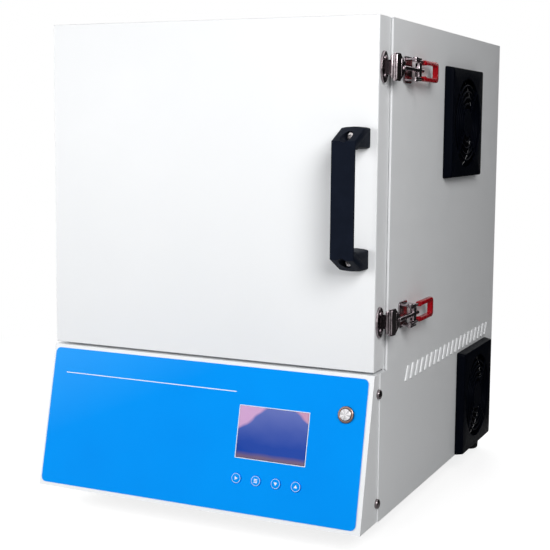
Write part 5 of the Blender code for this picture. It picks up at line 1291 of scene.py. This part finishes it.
def vacuum_port():
    low, high, place = rearward("vacuum_port")
    rim = (high.x - low.x) / 2
    profile = fillet([(TUBE_BORE, low.y), (TUBE_RADIUS, low.y), (TUBE_RADIUS, high.y - PORT_RIM_FROM),
                      (rim, high.y - PORT_RIM_TALL), (rim, high.y), (TUBE_BORE, high.y),
                      (TUBE_BORE, low.y + MM)], 0.5 * MM)
    made = lathe("vacuum_port_piece", profile, stainless, place)
    finished(made, "case", "stainless", "vacuum_port")


def probe():
    low, high, place = rearward("thermocouple")
    head, seat = (high.x - low.x) / 2, high.y - PROBE_HEAD_LONG
    profile = fillet([(0, low.y), (SHEATH_RADIUS, low.y + 3 * MM), (SHEATH_RADIUS, seat), (head, seat),
                      (head, high.y), (0, high.y)], 0.8 * MM)
    made = lathe("thermocouple_piece", profile, ceramic, place, 32)
    finished(made, "case", node_slot("thermocouple"), "thermocouple")


def front_lip(side):
    # The side sheets' folded front edge, which closes the slot beside the white front sheet.
    low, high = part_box("front_frame")
    wall_low, wall_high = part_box("top_cover")
    if side == "right":
        inner, outer = high.x + LIP_INSET, wall_high.x + SHEET_STEP - LIP_OVER
    else:
        inner, outer = wall_low.x - SHEET_STEP + LIP_OVER, low.x - LIP_INSET
    place = Matrix.Translation((0, low.y, 0)) @ Matrix.Rotation(math.pi / 2, 4, "X")
    made = plate(side + "_front_lip", rectangle(inner, low.z, outer, high.z), -LIP_THICK, LIP_PROUD,
                 white_paint, place)
    finished(rounded(made, LIP_BEVEL, 4), "case", node_slot("front_frame"))


front_lip("left")
front_lip("right")
softened("door_shell", 0.5 * MM, white_paint, 3)
softened("door_plug", 1.2 * MM, fibre, 3)
softened("door_seal", 0, seal_rubber)
softened("mains_inlet", 0.3 * MM, fan_plastic)
softened("transformer", 0.6 * MM, iron)
for corner in ("front_left", "front_right", "rear_left", "rear_right"):
    foot(corner + "_foot")
vacuum_port()
probe()
print("door and turned parts ready")

# %% [markdown]
# ## Heating coils
# The heaters are wire wound into a long spring that runs to and fro along the chamber walls. The
# spring follows a rule: walk along the path and circle round it. A tree moves the points of a curve
# that way and sweeps a round wire along the result.

# %% Wind the heating wire
HEATER_RUNS = 6
HEATER_RADIUS = 3.0 * MM
WIRE_RADIUS = 0.55 * MM
WIRE_PITCH = 2.6 * MM
BACK_BEND_FROM_TAIL = 58.0 * MM
STEPS_PER_TURN = 9
STEPS_PER_BEND = 12


def coil_tree():
    tree, given, result = new_tree("wound_wire", Radius="Float", Wire="Float", Pitch="Float", Step="Float")
    curve = add(tree, "GeometryNodeMeshToCurve", {0: given["Geometry"]})
    even = add(tree, "GeometryNodeResampleCurve", {"Curve": curve.outputs[0], "Length": given["Step"]},
               mode="LENGTH")
    walked = add(tree, "GeometryNodeSplineParameter").outputs["Length"]
    normal = add(tree, "GeometryNodeInputNormal").outputs[0]
    ahead = add(tree, "GeometryNodeInputTangent").outputs[0]
    sideways = add(tree, "ShaderNodeVectorMath", {0: ahead, 1: normal}, operation="CROSS_PRODUCT").outputs[0]
    turn = maths(tree, "MULTIPLY", maths(tree, "DIVIDE", walked, given["Pitch"]), math.tau)
    swings = []
    for way, operation in ((normal, "COSINE"), (sideways, "SINE")):
        reach = maths(tree, "MULTIPLY", maths(tree, operation, turn), given["Radius"])
        swings.append(add(tree, "ShaderNodeVectorMath", {0: way, "Scale": reach}, operation="SCALE").outputs[0])
    both = add(tree, "ShaderNodeVectorMath", {0: swings[0], 1: swings[1]}, operation="ADD")
    move = add(tree, "GeometryNodeSetPosition", {"Geometry": even.outputs[0], "Offset": both.outputs[0]})
    section = add(tree, "GeometryNodeCurvePrimitiveCircle", {"Resolution": 5, "Radius": given["Wire"]})
    sweep = add(tree, "GeometryNodeCurveToMesh",
                {"Curve": move.outputs[0], "Profile Curve": section.outputs[0], "Fill Caps": True})
    tree.links.new(sweep.outputs[0], result)
    return tree


def heater_path(node):
    low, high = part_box(node)
    across = (low.x + high.x) / 2
    bottom, top = low.z + HEATER_RADIUS, high.z - HEATER_RADIUS
    pitch = (top - bottom) / (HEATER_RUNS - 1)
    bend = pitch / 2
    front, back = low.y + HEATER_RADIUS + bend, high.y - BACK_BEND_FROM_TAIL - bend
    points = [(across, high.y - MM, bottom)]
    for run in range(HEATER_RUNS - 1):
        centre, way = (back, 1) if run % 2 else (front, -1)
        for step in range(STEPS_PER_BEND + 1):
            turn = math.pi * step / STEPS_PER_BEND
            points.append((across, centre + bend * math.sin(turn) * way,
                           bottom + pitch * run + bend - bend * math.cos(turn)))
    points.append((across, high.y - MM, top))
    return points


def heater(node):
    path = bpy.data.meshes.new(node + "_path")
    points = heater_path(node)
    path.from_pydata(points, [(i, i + 1) for i in range(len(points) - 1)], [])
    made = grow(node + "_piece", wound_wire, path, wire, Radius=HEATER_RADIUS - WIRE_RADIUS,
                Wire=WIRE_RADIUS, Pitch=WIRE_PITCH, Step=WIRE_PITCH / STEPS_PER_TURN)
    made.data.shade_smooth()
    finished(made, "case", "heating_alloy", node)


wound_wire = coil_tree()
heater("left_heater")
heater("right_heater")

# %% [markdown]
# ## Paint the nodes that stay
# Flat sheets, plates and boards are right as they are, so they only get their finish.

# %% Paint them
FINISHES = {
    white_paint: ("base_tray", "left_side_panel", "right_side_panel", "top_cover", "rear_panel",
                  "front_frame", "control_panel"),
    zinc: ("mid_shelf",),
    blue_film: ("panel_overlay",),
    fan_plastic: ("display_module",),
    board_green: ("control_board",),
    stainless: ("vacuum_chamber", "door_inner_plate"),
    fibre: ("insulation_liner", "door_insulation"),
    ceramic: ("hearth_plate",),
    hinge_steel: ("power_regulator",),
}
for material, names in FINISHES.items():
    for name in names:
        nodes[name].data.materials.clear()
        nodes[name].data.materials.append(material)
print("painted nodes:", sum(len(names) for names in FINISHES.values()))
